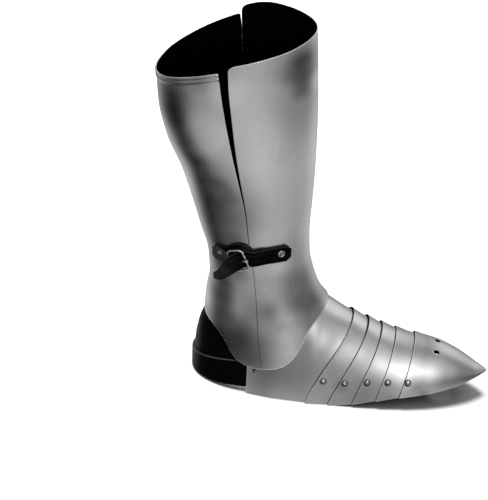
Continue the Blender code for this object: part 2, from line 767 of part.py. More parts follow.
def heel_counter():
    """Leather cup inside the heel, rising under the greave's rear edge."""
    grids = []
    for inward in (0.0, COUNTER_LEATHER):
        grid = []
        for row in COUNTER:
            ring = heel_ring(-row.rear - inward, row.half_width - inward, COUNTER_FRONT)
            grid.append([Vector((x, y, row.height)) for x, y in ring])
        grids.append(grid)
    return sheet("heel_counter", grids[0], grids[1], "leather")


def heel_strap():
    """Band round the heel; its upper edge dips towards the back."""
    grids = []
    for inward in (0.0, LEATHER):
        ring = heel_ring(HEEL_BAND_REAR - inward, HEEL_BAND_HALF - inward, HEEL_BAND_FRONT)
        grid = []
        for share in (0.0, 0.5, 1.0):
            row = []
            for x, y in ring:
                back = min(max(-x / HEEL_BAND_REAR, 0.0), 1.0)
                low = HEEL_BAND_LOW[1] + (HEEL_BAND_LOW[0] - HEEL_BAND_LOW[1]) * back
                top = HEEL_BAND_TOP[1] + (HEEL_BAND_TOP[0] - HEEL_BAND_TOP[1]) * back ** 1.5
                row.append(Vector((x, y, low + (top - low) * share)))
            grid.append(row)
        grids.append(grid)
    return sheet("heel_strap", grids[0], grids[1], "leather")


def heel_rivets(rear_plate, strap, counter):
    """A rivet each side through side plate, heel strap and counter."""
    along, height = HEEL_RIVET
    holes = []
    for side, mark in ((1, "outer"), (-1, "inner")):
        turn = foot_turn(along, height)
        seat = foot_point(along, turn, plate_lift(0, along, turn))
        seat.y *= side
        axis = Vector((0.0, side, 0.0))
        grip = abs(seat.y) - COUNTER[1].half_width + COUNTER_LEATHER
        rivet(f"heel_rivet_{mark}", seat, axis, grip, SMALL_HEAD)
        holes.append((seat, axis, RIVET_SHANK + CLEARANCE, 2 * DRILL_REACH))
    drill("heel_rivet_holes", holes, [rear_plate, strap, counter])


def ankle_studs(rear_plate):
    """Plain stud each side that holds the rear plate inside the greave's lobe."""
    along, height = ANKLE_STUD
    holes = []
    for side, mark in ((1, "outer"), (-1, "inner")):
        turn = foot_turn(along, height)
        seat = foot_point(along, turn, plate_lift(0, along, turn))
        room = abs(greave_point(greave_angle(along, height), height, -STEEL).y) - seat.y - 5 * CLEARANCE
        seat.y *= side
        axis = Vector((0.0, side, 0.0))
        tail = STEEL + 5 * CLEARANCE
        foot = tail + STUD_FOOT
        profile = ((0, room), (STUD_RADIUS, room), (STUD_RADIUS, -tail), (STUD_FOOT_RADIUS, -tail),
                   (STUD_FOOT_RADIUS, -foot), (0, -foot))
        turned(f"ankle_stud_{mark}", profile, seat, axis, "steel")
        holes.append((seat, axis, STUD_RADIUS + CLEARANCE, DRILL_REACH))
    drill("ankle_stud_holes", holes, [rear_plate])


def ribbon(name, rows, thickness, finish):
    """Strap from rows of (upper edge, lower edge, outward direction) on its inner face."""
    outer = [[top + out * thickness, (top + low) / 2 + out * thickness, low + out * thickness]
             for top, low, out in rows]
    inner = [[top, (top + low) / 2, low] for top, low, _ in rows]
    return sheet(name, outer, inner, finish)


def side_row(high_along, high, low_along, low, lift):
    """Strap row lying on the greave's inner side."""
    upper = inner_side_point(high_along, high, lift)
    lower = inner_side_point(low_along, low, lift)
    level = (high + low) / 2
    angle = -greave_angle((high_along + low_along) / 2, level)
    out = surface_normal(greave_point, angle, level)
    return upper, lower, out if out.y < 0 else -out


def side_rivet(name, place, lift, head, targets):
    """Rivet on the greave's inner side, through leather that lies lift high on the steel."""
    along, height = place
    angle = -greave_angle(along, height)
    axis = surface_normal(greave_point, angle, height)
    axis = axis if axis.y < 0 else -axis
    seat = greave_point(angle, height, lift)
    rivet(name, seat, axis, lift + STEEL, head)
    drill(f"{name}_holes", [(seat, axis, RIVET_SHANK + CLEARANCE, DRILL_REACH)], targets)


def ankle_strap(front_plate):
    """Strap riveted to the front plate, its free end through the buckle and hanging back."""
    half = STRAP_WIDTH / 2
    start = STRAP_END - STRAP_CORNER
    trimmed = half - STRAP_CORNER
    rows = [side_row(STRAP_END, STRAP_LEVEL + trimmed, STRAP_END, STRAP_LEVEL - trimmed, STRAP_SEAT)]
    for i in range(STRAP_STEPS):
        share = i / (STRAP_STEPS - 1)
        along = start + (STRAP_STRAIGHT - start) * share
        level = STRAP_LEVEL - STRAP_DROP * share ** 2
        over_pad = min(max(3.5 * share - 2.0, 0.0), 1.0)
        lift = STRAP_SEAT + (PAD_THICKNESS + CLEARANCE) * over_pad
        rows.append(side_row(along, level + half, along, level - half, lift))
    rows += [side_row(*row) for row in STRAP_TAIL]
    strap = ribbon("ankle_strap", rows, LEATHER, "leather")
    side_rivet("strap_rivet", STRAP_RIVET, STRAP_SEAT + LEATHER, STRAP_HEAD, [front_plate, strap])


def chape(calf_plate, pad):
    """Short leather tab riveted to the calf plate, reaching under the buckle's bar."""
    half = CHAPE_WIDTH / 2
    base = STRAP_SEAT + PAD_THICKNESS + CLEARANCE
    rows = []
    for i in range(CHAPE_STEPS + 1):
        along = CHAPE_END + (CHAPE_FOLD - CHAPE_END) * i / CHAPE_STEPS
        reach = half if i else half - CHAPE_CORNER
        rows.append(side_row(along, CHAPE_LEVEL + reach, along, CHAPE_LEVEL - reach, base))
    tab = ribbon("buckle_chape", rows, CHAPE_LEATHER, "leather")
    side_rivet("chape_rivet", CHAPE_RIVET, base + CHAPE_LEATHER, SMALL_HEAD, [calf_plate, pad, tab])


def backing_pad():
    """Thin leather pad between the buckle and the steel."""
    rows = [side_row(row.along, row.top, row.along, PAD_LOW, STRAP_SEAT) for row in PAD]
    return ribbon("backing_pad", rows, PAD_THICKNESS, "leather")


def buckle():
    """Wire frame of the buckle and its prong."""
    turn = Matrix.Rotation(BUCKLE_TILT, 2)
    frame = []
    for right, up, start in ((1, 1, 0), (-1, 1, 90), (-1, -1, 180), (1, -1, 270)):
        for step in range(3):
            angle = math.radians(start + 45 * step)
            across = right * (BUCKLE_WIDTH / 2 - BUCKLE_CORNER) + BUCKLE_CORNER * math.cos(angle)
            rise = up * (BUCKLE_HEIGHT / 2 - BUCKLE_CORNER) + BUCKLE_CORNER * math.sin(angle)
            share = across / BUCKLE_WIDTH + 0.5
            lift = BUCKLE_LIFT[0] + (BUCKLE_LIFT[1] - BUCKLE_LIFT[0]) * share
            along, level = Vector(BUCKLE_MIDDLE) + turn @ Vector((across, rise))
            frame.append(inner_side_point(along, level, lift))
    wire("buckle_frame", frame, True)
    prong = []
    for i, lift in enumerate(PRONG_LIFT):
        along, level = Vector(PRONG_START).lerp(Vector(PRONG_END), i / (len(PRONG_LIFT) - 1))
        prong.append(inner_side_point(along, level, lift))
    wire("buckle_prong", prong, False)


def wire(name, points, closed):
    """Round wire along points."""
    curve = bpy.data.curves.new(name, "CURVE")
    curve.dimensions = "3D"
    curve.bevel_depth = WIRE_RADIUS * MM
    curve.bevel_resolution = 1
    curve.use_fill_caps = True
    spline = curve.splines.new("POLY")
    spline.points.add(len(points) - 1)
    for slot, point in zip(spline.points, points):
        slot.co = (*to_world(point), 1.0)
    spline.use_cyclic_u = closed
    spline.use_smooth = True
    made = bpy.data.objects.new(name, curve)
    bpy.context.collection.objects.link(made)
    curve.materials.append(material("bright"))
    return made


def build():
    """Make every piece."""
    start_empty()
    front = greave_plate("front_plate", True, 17, 12)
    calf = greave_plate("calf_plate", False, 17, 11)
    rear = foot_plate("rear_plate", 0, ARCH_COLUMNS, 7)
    lames = [foot_plate(line.node, i + 1, ARCH_COLUMNS, 3) for i, line in enumerate(LINES[:-1])]
    cap = toe_cap("toe_cap", ARCH_COLUMNS, 7)
    lame_rivets([rear] + lames + [cap])
    lace_holes(cap)
    for label in HINGES:
        hinge(label, front, calf)
    counter = heel_counter()
    strap = heel_strap()
    heel_rivets(rear, strap, counter)
    ankle_studs(rear)
    ankle_strap(front)
    pad = backing_pad()
    chape(calf, pad)
    buckle()


build()
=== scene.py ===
"""Looks of a steel sabaton with its hinged greave, black heel leather and buckled ankle strap.

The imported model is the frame. Every piece here is a finer form of one CAD piece, made from the
same sizes, and rides on that piece's body. Distances along the foot and heights are in
millimetres, from the rear edge of the side plates and from the floor.
"""
import json
import math
from collections import namedtuple

import bpy
from bpy.props import FloatProperty, FloatVectorProperty, PointerProperty
from bpy.types import Operator, Panel, PropertyGroup
from mathutils import Matrix, Vector


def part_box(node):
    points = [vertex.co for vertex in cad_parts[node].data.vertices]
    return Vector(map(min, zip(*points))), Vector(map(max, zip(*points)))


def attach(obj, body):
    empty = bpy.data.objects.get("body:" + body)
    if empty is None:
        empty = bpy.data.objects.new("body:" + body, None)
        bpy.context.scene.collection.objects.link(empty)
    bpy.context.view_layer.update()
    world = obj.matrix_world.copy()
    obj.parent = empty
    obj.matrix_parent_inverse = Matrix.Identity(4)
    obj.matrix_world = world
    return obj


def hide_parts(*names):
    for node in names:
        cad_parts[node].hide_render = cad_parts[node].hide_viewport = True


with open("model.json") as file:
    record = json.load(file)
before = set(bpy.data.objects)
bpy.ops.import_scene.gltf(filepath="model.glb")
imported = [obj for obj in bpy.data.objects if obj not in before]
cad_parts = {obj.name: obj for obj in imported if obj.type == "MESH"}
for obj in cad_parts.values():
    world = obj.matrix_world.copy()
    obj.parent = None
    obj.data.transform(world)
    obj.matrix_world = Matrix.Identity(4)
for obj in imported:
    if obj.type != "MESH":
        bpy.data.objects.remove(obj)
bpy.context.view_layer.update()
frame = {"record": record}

bl_info = {
    "name": "Sabaton and Greave",
    "version": (1, 0, 0),
    "blender": (4, 5, 0),
    "location": "View3D > Sidebar > Sabaton",
    "description": "Builds a steel sabaton with its greave, strap and heel leather round its CAD model",
    "category": "Object",
}


def table(columns, *rows):
    """Rows whose columns have names."""
    kind = namedtuple("Row", columns)
    return [kind(*row) for row in rows]


MM = 0.001
REAR_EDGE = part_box("rear_plate")[0][0]
BODY_OF = {node: body for body, nodes in frame["record"]["behaviour"]["bodies"].items() for node in nodes}
SIDES = ((1, "outer"), (-1, "inner"))

STEEL = 1.2
LEATHER = 2.5
CLEARANCE = 0.4
LAME_GAP_SIDE = 0.6
LAME_GAP_TOP = 1.6
OVERLAP = 12.0

# How finely shapes are worked out
NORMAL_STEP = 0.01
SETTLE_ROUNDS = 30
TINY = 1e-9

# Rounded edges of a sheet: the rows next to an edge, the rows over a round corner as shares of its
# radius, the turns in degrees over the edge, its greatest radius as a share of the next row's
# distance, and how far an edge's abrasion and painted highlight reach
EDGE_ROWS = (0.0, 0.6, 1.3)
CORNER_SHARES = (0.25, 0.5, 0.75, 1.0)
CORNER_FROM = 1.4
LEAST_STEP = 0.3
EDGE_TURNS = (30, 60, 90, 120, 150)
EDGE_ROUND = 0.45
EDGE_WEAR_AND_SHEEN = 2.5

# Rivets: the dome's steps, degrees a step and the share of its ball cut off, the brim as shares of
# the radius and distances from the plate, and the tail's radius and depth past its grip
RIVET_SHANK = 1.5
RIVET_SIDES = 28
DOME_STEPS = 6
DOME_TURN = 13
DOME_CUT = 0.2
RIVET_BRIM = ((1.01, 0.18), (0.97, 0.02), (0.9, -0.05))
WASHER_BRIM = ((0.93, 0.33), (1.0, 0.2), (0.97, 0.0))
RIVET_TAIL = ((2.5, -0.1), (2.7, 0.1), (2.4, 0.6), (0, 0.7))

# Leg tube of the greave: rear and front of the section on the centre line, and its half width
GREAVE = table(
    "height rear front half_width",
    (36, -55.0, 131.0, 60.6), (64, -58.0, 117.0, 60.5), (87, -60.3, 102.0, 59.4),
    (104, -59.6, 89.0, 58.0), (118, -58.2, 77.0, 56.6), (138, -55.3, 68.0, 54.4),
    (170, -57.8, 59.8, 52.4), (202, -67.6, 57.9, 54.0), (239, -78.7, 59.1, 57.4),
    (276, -91.1, 59.9, 62.2), (313, -107.5, 59.6, 66.2), (350, -116.2, 58.6, 67.0),
    (386, -118.4, 56.6, 66.8), (414, -118.8, 54.6, 67.2), (445, -119.0, 52.2, 67.8),
)
GREAVE_ROUNDNESS = 2.1

# Lower edge of the greave, seen from the side: round lobes over the ankles
LOWER_EDGE = table(
    "along height",
    (-61, 87.0), (-52, 84.5), (-42, 80.5), (-33, 73.0), (-27, 65.0), (-21, 54.5), (-14, 46.8),
    (-7, 42.6), (2, 41.0), (12, 40.6), (22, 41.2), (32, 43.4), (42, 48.0), (50, 55.0), (58, 66.5),
    (63, 78.5), (67, 88.5), (75, 100.8), (84, 108.5),
)

# Upper rims, by the turn in degrees from the shin over the outer side
FRONT_RIM = table(
    "turn height",
    (-100, 410.2), (-90, 415.0), (-75, 421.1), (-60, 426.5), (-45, 431.0), (-30, 435.3), (-15, 438.1),
    (0, 439.2), (15, 439.6), (30, 440.0), (45, 440.9), (58, 441.8), (70, 442.2), (80, 440.6),
    (88, 437.2), (96, 433.2), (106, 428.2),
)
CALF_RIM = table(
    "turn height",
    (80, 431.4), (96, 424.3), (109, 416.8), (118, 411.6), (128, 405.9), (139, 400.2), (153, 394.2),
    (173, 387.7), (195, 385.8), (210, 387.5), (225, 391.3), (240, 396.9), (255, 403.4), (270, 410.5),
    (285, 417.5),
)
FRONT_CORNER = 5.0
CALF_CORNER = 1.6
PLATE_ARC = 190.0
PLATE_HEIGHT = 340.0

# Heights where the search for a plate's lower edge and its rim starts
LOW_START = 70.0
HIGH_START = 410.0

# Rolled bead round the calf plate's rim: distance below the rim, and how far it stands out
BEAD = table(
    "drop rise",
    (0.0, 0.5), (0.9, 1.35), (1.9, 1.5), (2.9, 0.95), (3.7, 0.35), (4.5, 0.75), (5.6, 1.3), (6.8, 1.05),
    (7.9, 0.3), (9.0, 0.0),
)
BEAD_STEPS = 18
BEAD_ROOM = 0.6

# Seams between the two greave plates: the front plate's inner edge, the gap there, and its outer edge
SEAM = table(
    "height along gap outer",
    (36, 18.5, 0.2, 18.5), (66, 14.5, 0.2, 14.5), (87, 12.0, 0.2, 12.0), (125, 8.5, 0.2, 8.0),
    (158, 4.3, 0.25, 3.2), (205, -3.4, 0.35, -5.2), (240, -7.0, 0.7, -9.8), (290, -15.0, 2.6, -18.8),
    (324, -20.3, 4.6, -25.5), (357, -24.8, 7.0, -31.5), (390, -29.0, 8.6, -36.4),
    (425, -31.0, 11.4, -38.6),
)

# Gap between the plates on the outer side, which opens a little at the top
OUTER_GAP = table(
    "height gap",
    (36, 0.02), (404, 0.02), (411, 0.04), (418, 0.8), (426, 1.7), (445, 2.7),
)
HINGE_GAP = 1.0

# Arch over the foot: half width, lower edge, crown and how square the section is
FOOT = table(
    "along half_width low top roundness",
    (0, 53.0, 0.0, 133.0, 2.7), (37, 56.8, 0.0, 121.5, 2.7), (74, 57.3, 0.0, 107.6, 2.7),
    (84, 56.7, 0.0, 102.6, 2.6), (101, 55.4, 0.0, 93.2, 2.45), (114, 55.0, 1.7, 87.0, 2.35),
    (129, 54.4, 5.2, 80.3, 2.3), (156, 52.6, 12.6, 70.0, 2.3), (184, 48.8, 18.9, 64.0, 2.3),
    (212, 42.2, 23.0, 61.6, 2.3), (239, 31.6, 28.2, 53.8, 2.3), (255, 22.5, 32.2, 46.2, 2.3),
    (267, 13.0, 35.2, 40.6, 2.3), (277, 2.0, 37.0, 38.6, 2.3),
)
FOOT_ARC = 190.0
TOE_TIP = 277.0

# Visible rear edges of the lames and toe cap: where each meets the sole line and the crown
LINES = table(
    "node low crown rivet_along rivet_height",
    ("lame_1", 70.8, 116.4, 90.5, 33.0),
    ("lame_2", 97.0, 135.2, 115.3, 32.4),
    ("lame_3", 125.0, 151.4, 141.0, 35.6),
    ("lame_4", 152.7, 168.0, 164.5, 37.7),
    ("toe_cap", 179.3, 190.4, 187.4, 38.4),
)
LINE_SLANT = 0.87
ANKLE_OPENING_CROWN = 70.0
SIDE_WING_SHARE = 0.5
WING_CURVE = 0.8

LACE_HOLE_ALONG = 216.4
LACE_HOLE_SIDE = 12.0
LACE_HOLE_LEAN = (0.25, 0.2)
LACE_HOLE_RADIUS = 3.3
LACE_HOLE_REACH = 9.0
LACE_HOLE_SIDES = 32

# Hinges on the outer side, by the height of their middle and how deep the leaves lie
HINGES = table("label height seat", ("upper", 303.0, 1.3), ("lower", 66.0, 0.8))
BARREL_LENGTH = 26.0
BARREL_RADIUS = 3.2
BARREL_BORE = 1.9
KNUCKLE_ROUND = 0.3
KNUCKLE_SIDES = 24
PIN_RADIUS = 1.5
PIN_REACH = BARREL_LENGTH / 2 + 0.6
PIN_TIP = ((0, 0.6), (0.8, 0.5), (1.3, 0.2), (PIN_RADIUS, -0.2))
PIN_SIDES = 20
LEAF_WIDTH = 19.0
LEAF_HEIGHT = 24.0
LEAF_START = 4.2
LEAF_STEEL = 0.9
LEAF_STEPS = 12
LEAF_RIVET_ALONG = 13.5
LEAF_RIVET_UP = 6.5
NOTCH_HALF = 3.8
NOTCH_LENGTH = 28.4
NOTCH_DEPTH = 8.0
BOX_FACES = ((0, 1, 3, 2), (4, 6, 7, 5), (0, 4, 5, 1), (2, 3, 7, 6), (0, 2, 6, 4), (1, 5, 7, 3))
HINGE_RIVET_HEAD = (2.6, 1.5)

# Heel leather, in plan a half ellipse behind the side plates
COUNTER = table(
    "height rear half_width",
    (8, -69.6, 47.8), (28, -71.2, 47.9), (43, -70.7, 47.6), (56, -68.7, 46.4), (70, -65.6, 43.8),
    (81, -61.3, 42.0), (94, -55.6, 40.6),
)
COUNTER_FRONT = 14.0
COUNTER_LEATHER = 2.0
HEEL_BAND_REAR = 74.6
HEEL_BAND_HALF = 50.8
HEEL_BAND_FRONT = 19.0
HEEL_BAND_TOP = (43.5, 27.5)
HEEL_BAND_LOW = (7.5, 2.0)
HEEL_BAND_WIDTH = 34.0
HEEL_BAND_CURVE = 1.5
HEEL_STEPS = 48
HEEL_MESH = 3.0
HEEL_RIVET = (9.4, 34.0)
HEEL_RIVET_HEAD = (2.6, 1.2)

# Hidden studs at the ankles: radius and distance from the tip, and from the rear plate
ANKLE_STUD = (48.0, 68.0)
STUD_ROOM = 0.1
STUD_TIP = ((0, 0.0), (2.1, 0.0), (2.4, -0.3))
STUD_SHANK = ((2.4, -3.2), (4.0, -3.2), (4.2, -3.5), (4.2, -4.3), (3.9, -4.6), (0, -4.6))
STUD_SIDES = 24

# Ankle strap on the inner side, measured along the foot and up
STRAP_WIDTH = 19.0
STRAP_SEAT = 0.9
STRAP_LEVEL = 191.0
STRAP_END = 41.0
STRAP_STRAIGHT = 2.0
STRAP_CORNER = 4.5
STRAP_DROP = 5.0
STRAP_STEPS = 6
STRAP_MESH = 1.6
STRAP_RIVETS = table(
    "node along height head dome washer",
    ("strap_rivet", 31.2, 192.1, 2.1, 1.0, 4.0),
    ("chape_rivet", -33.5, 186.4, 1.8, 0.9, 2.9),
)

# Buckle: a frame of bent wire whose radius waves a little, and its prong
BUCKLE_MIDDLE = (-12.6, 183.8)
BUCKLE_WIDTH = 17.0
BUCKLE_HEIGHT = 26.0
BUCKLE_TILT = math.radians(21)
BUCKLE_CORNER = 5.0
BUCKLE_TURNS = range(0, 91, 15)
BUCKLE_LIFT = (6.2, 7.4)
WIRE_WAVE = (0.07, 2.1)
TUBE_SIDES = 14
PRONG_START = (-6.8, 185.6)
PRONG_END = (-2.0, 187.4)
PRONG_LIFT = 8.9
PRONG_ARCH = 1.5
PRONG_RADIUS = 1.05
PRONG_TAPER = 0.35
PRONG_STEPS = 24

# The strap past the straight part: its upper and lower edge, and how far off the steel it lies
TAIL_COLUMNS = "high_along high low_along low lift"
STRAP_TAIL = table(
    TAIL_COLUMNS,
    (-3.0, 196.0, 0.0, 176.5, 2.7), (-9.0, 197.0, -1.6, 176.4, 2.8), (-12.8, 195.6, -5.4, 175.8, 4.8),
    (-16.6, 193.0, -8.8, 174.0, 7.4), (-19.8, 189.8, -12.6, 170.4, 8.8),
    (-24.2, 182.6, -17.6, 164.4, 9.0), (-28.0, 174.4, -23.4, 157.8, 8.8),
    (-31.8, 165.4, -29.4, 152.6, 7.8), (-38.0, 157.2, -37.4, 149.0, 6.2),
)

# Pad behind the buckle: its upper edge
PAD = table(
    "along top",
    (-41.5, 193.8), (-35.5, 194.0), (-29.5, 195.0), (-21.0, 201.0), (-12.0, 203.5), (-4.0, 201.5),
    (0.0, 197.5),
)
PAD_LOW = 182.0
PAD_THICKNESS = 1.4
PAD_HEIGHT = 20.0
PAD_MESH = 1.5
PAD_RAG = 0.6
PAD_WAVES = (1.3, 0.47)

# Tab that holds the buckle: flat over the pad, bent up, and wrapped round the buckle's bar
CHAPE_END = -43.5
CHAPE_CORNER = 4.0
CHAPE_LEATHER = 2.0
CHAPE_SHEET = 1.4
CHAPE_WIDTH = 20.0
CHAPE_TAPER = 0.42
CHAPE_LEVEL = 183.4
CHAPE_BASE = STRAP_SEAT + PAD_THICKNESS + CLEARANCE
CHAPE_STEP = 1.2
CHAPE_STEPS = 12
CHAPE_BEND = ((-28.6, 0.3), (-27.4, 1.2))
CHAPE_TURNS = range(210, -100, -24)
CHAPE_WRAP = 2.3
CHAPE_SAG = 0.6

# The photograph's viewpoint: place, direction and lens
CAMERA_PLACE = (177.7, -1332.1, 950.9)
CAMERA_PITCH = math.radians(30.32)
CAMERA_YAW = math.radians(-8.12)
CAMERA_ROLL = math.radians(2.24)
CAMERA_LENS = 97.1
CAMERA_SHIFT = -0.0067
CAMERA_REACH = 100.0

# Painted sheen of the heel leather, the strap's paler colour for scuffed places and painted highlights,
# and the greave's painted edge highlight; in millimetres and, for the heights, in metres
HEEL_SHEEN_PLACE = (-94.0, 0.0, 20.0)
HEEL_SHEEN_RADIUS = 37.0
HEEL_SHEEN_COLOUR = (0.2, 0.2, 0.2, 1.0)
STRAP_SCUFF_AND_SHEEN = (0.12, 0.12, 0.12, 1.0)
SHINE_HEIGHTS = (0.09, 0.13)
GREAVE_SHINE = 0.6

# A Mix node's colour sockets and its colour result, by number
MIX_FIRST = 6
MIX_SECOND = 7
MIX_RESULT = 2

# Painted reflections, darker and lighter areas that stand in for what the steel mirrors, seen from
# the side: tone is the share that is added to the steel's own tone at the middle, and falls to nothing
# at the radius. The fade is where they weaken towards the outer side, in metres across the foot. The
# rivet pair is the radius and the tone of the painted shade round a rivet.
PAINTED_REFLECTION_COLUMNS = "along height radius tone"
PAINTED_REFLECTION_FADE = (-0.04, 0.05)
RIVET_PAINTED_SHADE = (5.4, -2.4)
GREAVE_PAINTED_REFLECTIONS = table(
    PAINTED_REFLECTION_COLUMNS,
    (-94, 370, 36, -0.8), (-88, 340, 28, -0.75), (-76, 320, 20, -0.45), (-60, 301, 20, -0.4),
    (-49, 278, 20, -0.4), (-42, 253, 22, -0.35), (46, 420, 17, -0.6), (46, 403, 21, -0.6),
    (34, 408, 24, -0.4), (45, 386, 18, -0.5), (63, 390, 20, 0.8), (-93, 354, 24, -0.7),
    (-22, 358, 80, 0.3), (42, 310, 65, 0.34), (-24, 235, 60, -0.5), (-12, 72, 65, -0.72),
    (-54, 336, 36, 0.4), (-32, 388, 30, 0.32), (-86, 262, 28, 0.35), (-38, 178, 42, -0.5),
    (12, 118, 30, -0.3), (14, 52, 36, -0.4), (-38, 130, 34, -0.5), (-62, 118, 30, 0.7),
    (-29, 145, 16, -0.4), (-28, 124, 17, -0.4), (-29, 104, 18, -0.35), (-12, 120, 20, 0.25),
    (62, 112, 22, -0.25), (52, 128, 14, -0.2), (24, 120, 15, -0.3), (46, 88, 18, 0.3),
    (52, 72, 16, 0.25), (-5, 84, 26, -0.35), (20, 78, 20, -0.2), (-58, 132, 14, 0.35),
    (-12, 162, 18, -0.3), (-18, 204, 22, -0.45), (-33, 276, 18, -0.4), (-24, 262, 18, -0.35),
    (-116, 388, 16, 0.5), (-112, 322, 18, 0.4), (-62, 396, 20, -0.3), (38, 420, 16, -0.4),
    (34, 174, 18, 0.3),
)
FOOT_PAINTED_REFLECTIONS = table(
    PAINTED_REFLECTION_COLUMNS,
    (26, 38, 54, -0.58), (72, 36, 48, -0.3), (110, 10, 62, -0.34), (140, 16, 34, -0.42),
    (182, 47, 26, 0.32), (250, 42, 44, -0.4), (205, 22, 34, -0.3), (70, 88, 24, -0.3),
    (168, 15, 28, -0.4), (128, 60, 20, -0.2), (112, 28, 14, -0.3), (171, 15, 12, -0.2),
    (184, 36, 14, 0.3), (214, 37, 18, 0.35), (207, 24, 10, -0.25), (140, 58, 14, -0.2),
    (97, 78, 14, -0.25), (88, 68, 14, -0.2),
    # Painted shade round each lame rivet
    *((line.rivet_along, line.rivet_height, *RIVET_PAINTED_SHADE) for line in LINES),
)

# Small dark marks of the greave
GREAVE_MARKS = table(
    "along side height radius",
    (-18.0, -64.0, 410.5, 3.4), (-20.5, -64.0, 411.5, 2.2), (-23.6, -63.0, 382.0, 2.6),
    (-49.0, -60.0, 396.0, 4.5),
)

# What the steel mirrors: soft lights and dark flags of the studio, by direction from the object.
# Azimuth 0 is the camera's side and 90 the toe's; a light adds its strength, a flag takes its share.
PATCH_COLUMNS = "azimuth elevation width strength"
LIGHTS = table(
    PATCH_COLUMNS,
    (26.0, 37.0, 21.0, 1.45), (60.0, 60.0, 28.0, 0.6), (148.0, 21.0, 18.0, 0.95),
    (145.0, -22.0, 24.0, 0.2), (26.0, 8.0, 18.0, 0.35), (14.0, -30.0, 22.0, 0.14),
    (-125.0, -35.0, 20.0, 0.15), (-45.0, 12.0, 18.0, 0.15), (110.0, 38.0, 24.0, 0.1),
)
FLAGS = table(
    PATCH_COLUMNS,
    (-82.0, -47.0, 27.0, 0.98), (-50.0, -62.0, 28.0, 0.75), (-78.0, -4.0, 18.0, 0.75),
    (82.0, 0.0, 26.0, 0.4), (118.0, 4.0, 24.0, 0.45),
)
STUDIO_BASE = 0.27
FLOOR_GLOW = 0.36
FLOOR_BAND = (0.12, 0.72)
DOME = (0.3, 0.8)
LAMP_ANGLE = math.radians(26)
LAMP_TURN = (math.radians(3), math.radians(-8), 0.0)


class SteelSettings(PropertyGroup):
    """Sheet steel of the greave and the foot."""

    colour: FloatVectorProperty(name="Steel", description="Colour of the polished steel", subtype="COLOR",
                                size=3, min=0, max=1, default=(0.92, 0.92, 0.92))
    roughness: FloatProperty(name="Roughness", description="How satin the polish is", subtype="FACTOR",
                             min=0, max=1, default=0.27)
    blacking: FloatVectorProperty(name="Blacking", description="Colour of the blackened inside",
                                  subtype="COLOR", size=3, min=0, max=1, default=(0.0004, 0.0004, 0.0004))
    wall: FloatProperty(name="Wall", description="Thickness of the sheet", unit="LENGTH",
                        default=STEEL * MM)
    mesh: FloatProperty(name="Mesh size", description="Width of one face of a plate", unit="LENGTH",
                        default=2.0 * MM)


class LeatherSettings(PropertyGroup):
    """Black leather of the heel and the ankle strap."""

    colour: FloatVectorProperty(name="Leather", description="Colour of the black leather", subtype="COLOR",
                                size=3, min=0, max=1, default=(0.0008, 0.0008, 0.0008))
    heel_roughness: FloatProperty(name="Heel shine", description="Roughness of the heel leather",
                                  subtype="FACTOR", min=0, max=1, default=0.38)
    strap_roughness: FloatProperty(name="Strap shine", description="Roughness of the strap leather",
                                   subtype="FACTOR", min=0, max=1, default=0.5)
    strap: FloatProperty(name="Strap", description="Thickness of the strap", unit="LENGTH",
                         default=LEATHER * MM)


class FittingSettings(PropertyGroup):
    """Rivets, buckle and hinges."""

    colour: FloatVectorProperty(name="Fittings", description="Colour of rivets and buckle", subtype="COLOR",
                                size=3, min=0, max=1, default=(0.93, 0.93, 0.92))
    head: FloatProperty(name="Rivet head", description="Radius of a lame rivet's head", unit="LENGTH",
                        default=3.4 * MM)
    dome: FloatProperty(name="Rivet dome", description="Height of a rivet's dome", unit="LENGTH",
                        default=1.9 * MM)
    wire: FloatProperty(name="Buckle wire", description="Radius of the buckle's wire", unit="LENGTH",
                        default=1.35 * MM)


class StudioSettings(PropertyGroup):
    """Floor and soft light."""

    floor: FloatVectorProperty(name="Floor", description="Colour of the floor", subtype="COLOR", size=3,
                               min=0, max=1, default=(0.9, 0.9, 0.9))
    key: FloatProperty(name="Key light", description="Strength of the lamp overhead", min=0, default=4.4)
    fill: FloatProperty(name="Fill light", description="Strength of the soft light from above", min=0,
                        default=0.5)
    width: FloatProperty(name="Floor width", description="Width of the floor", unit="LENGTH", default=40.0)


def settings(group):
    """One group of settings in the scene."""
    return getattr(bpy.context.scene, f"sabaton_{group}")


def between(low, high, share):
    """Value at a share of the way from low to high."""
    return low + (high - low) * share


def clamped(share):
    """A share held between 0 and 1."""
    return min(max(share, 0.0), 1.0)


def curve_through(keys, values):
    """Smooth curve through values at keys, without overshoot between them."""
    count = len(keys)
    steps = [keys[i + 1] - keys[i] for i in range(count - 1)]
    slopes = [(values[i + 1] - values[i]) / steps[i] for i in range(count - 1)]
    tangents = [slopes[0]] + [0.0] * (count - 2) + [slopes[-1]]
    for i in range(1, count - 1):
        if slopes[i - 1] * slopes[i] > 0:
            before = 2 * steps[i] + steps[i - 1]
            after = steps[i] + 2 * steps[i - 1]
            tangents[i] = (before + after) / (before / slopes[i - 1] + after / slopes[i])

    def value(at):
        at = min(max(at, keys[0]), keys[-1])
        i = 0
        while i < count - 2 and at > keys[i + 1]:
            i += 1
        s = (at - keys[i]) / steps[i]
        rise = s * s * (3 - 2 * s)
        leave = s * (1 - s) ** 2 * steps[i] * tangents[i]
        arrive = s * s * (s - 1) * steps[i] * tangents[i + 1]
        return values[i] + (values[i + 1] - values[i]) * rise + leave + arrive

    return value


def curves(rows):
    """The curve of each column of a table against its first column."""
    keys, *columns = zip(*rows)
    return [curve_through(keys, values) for values in columns]


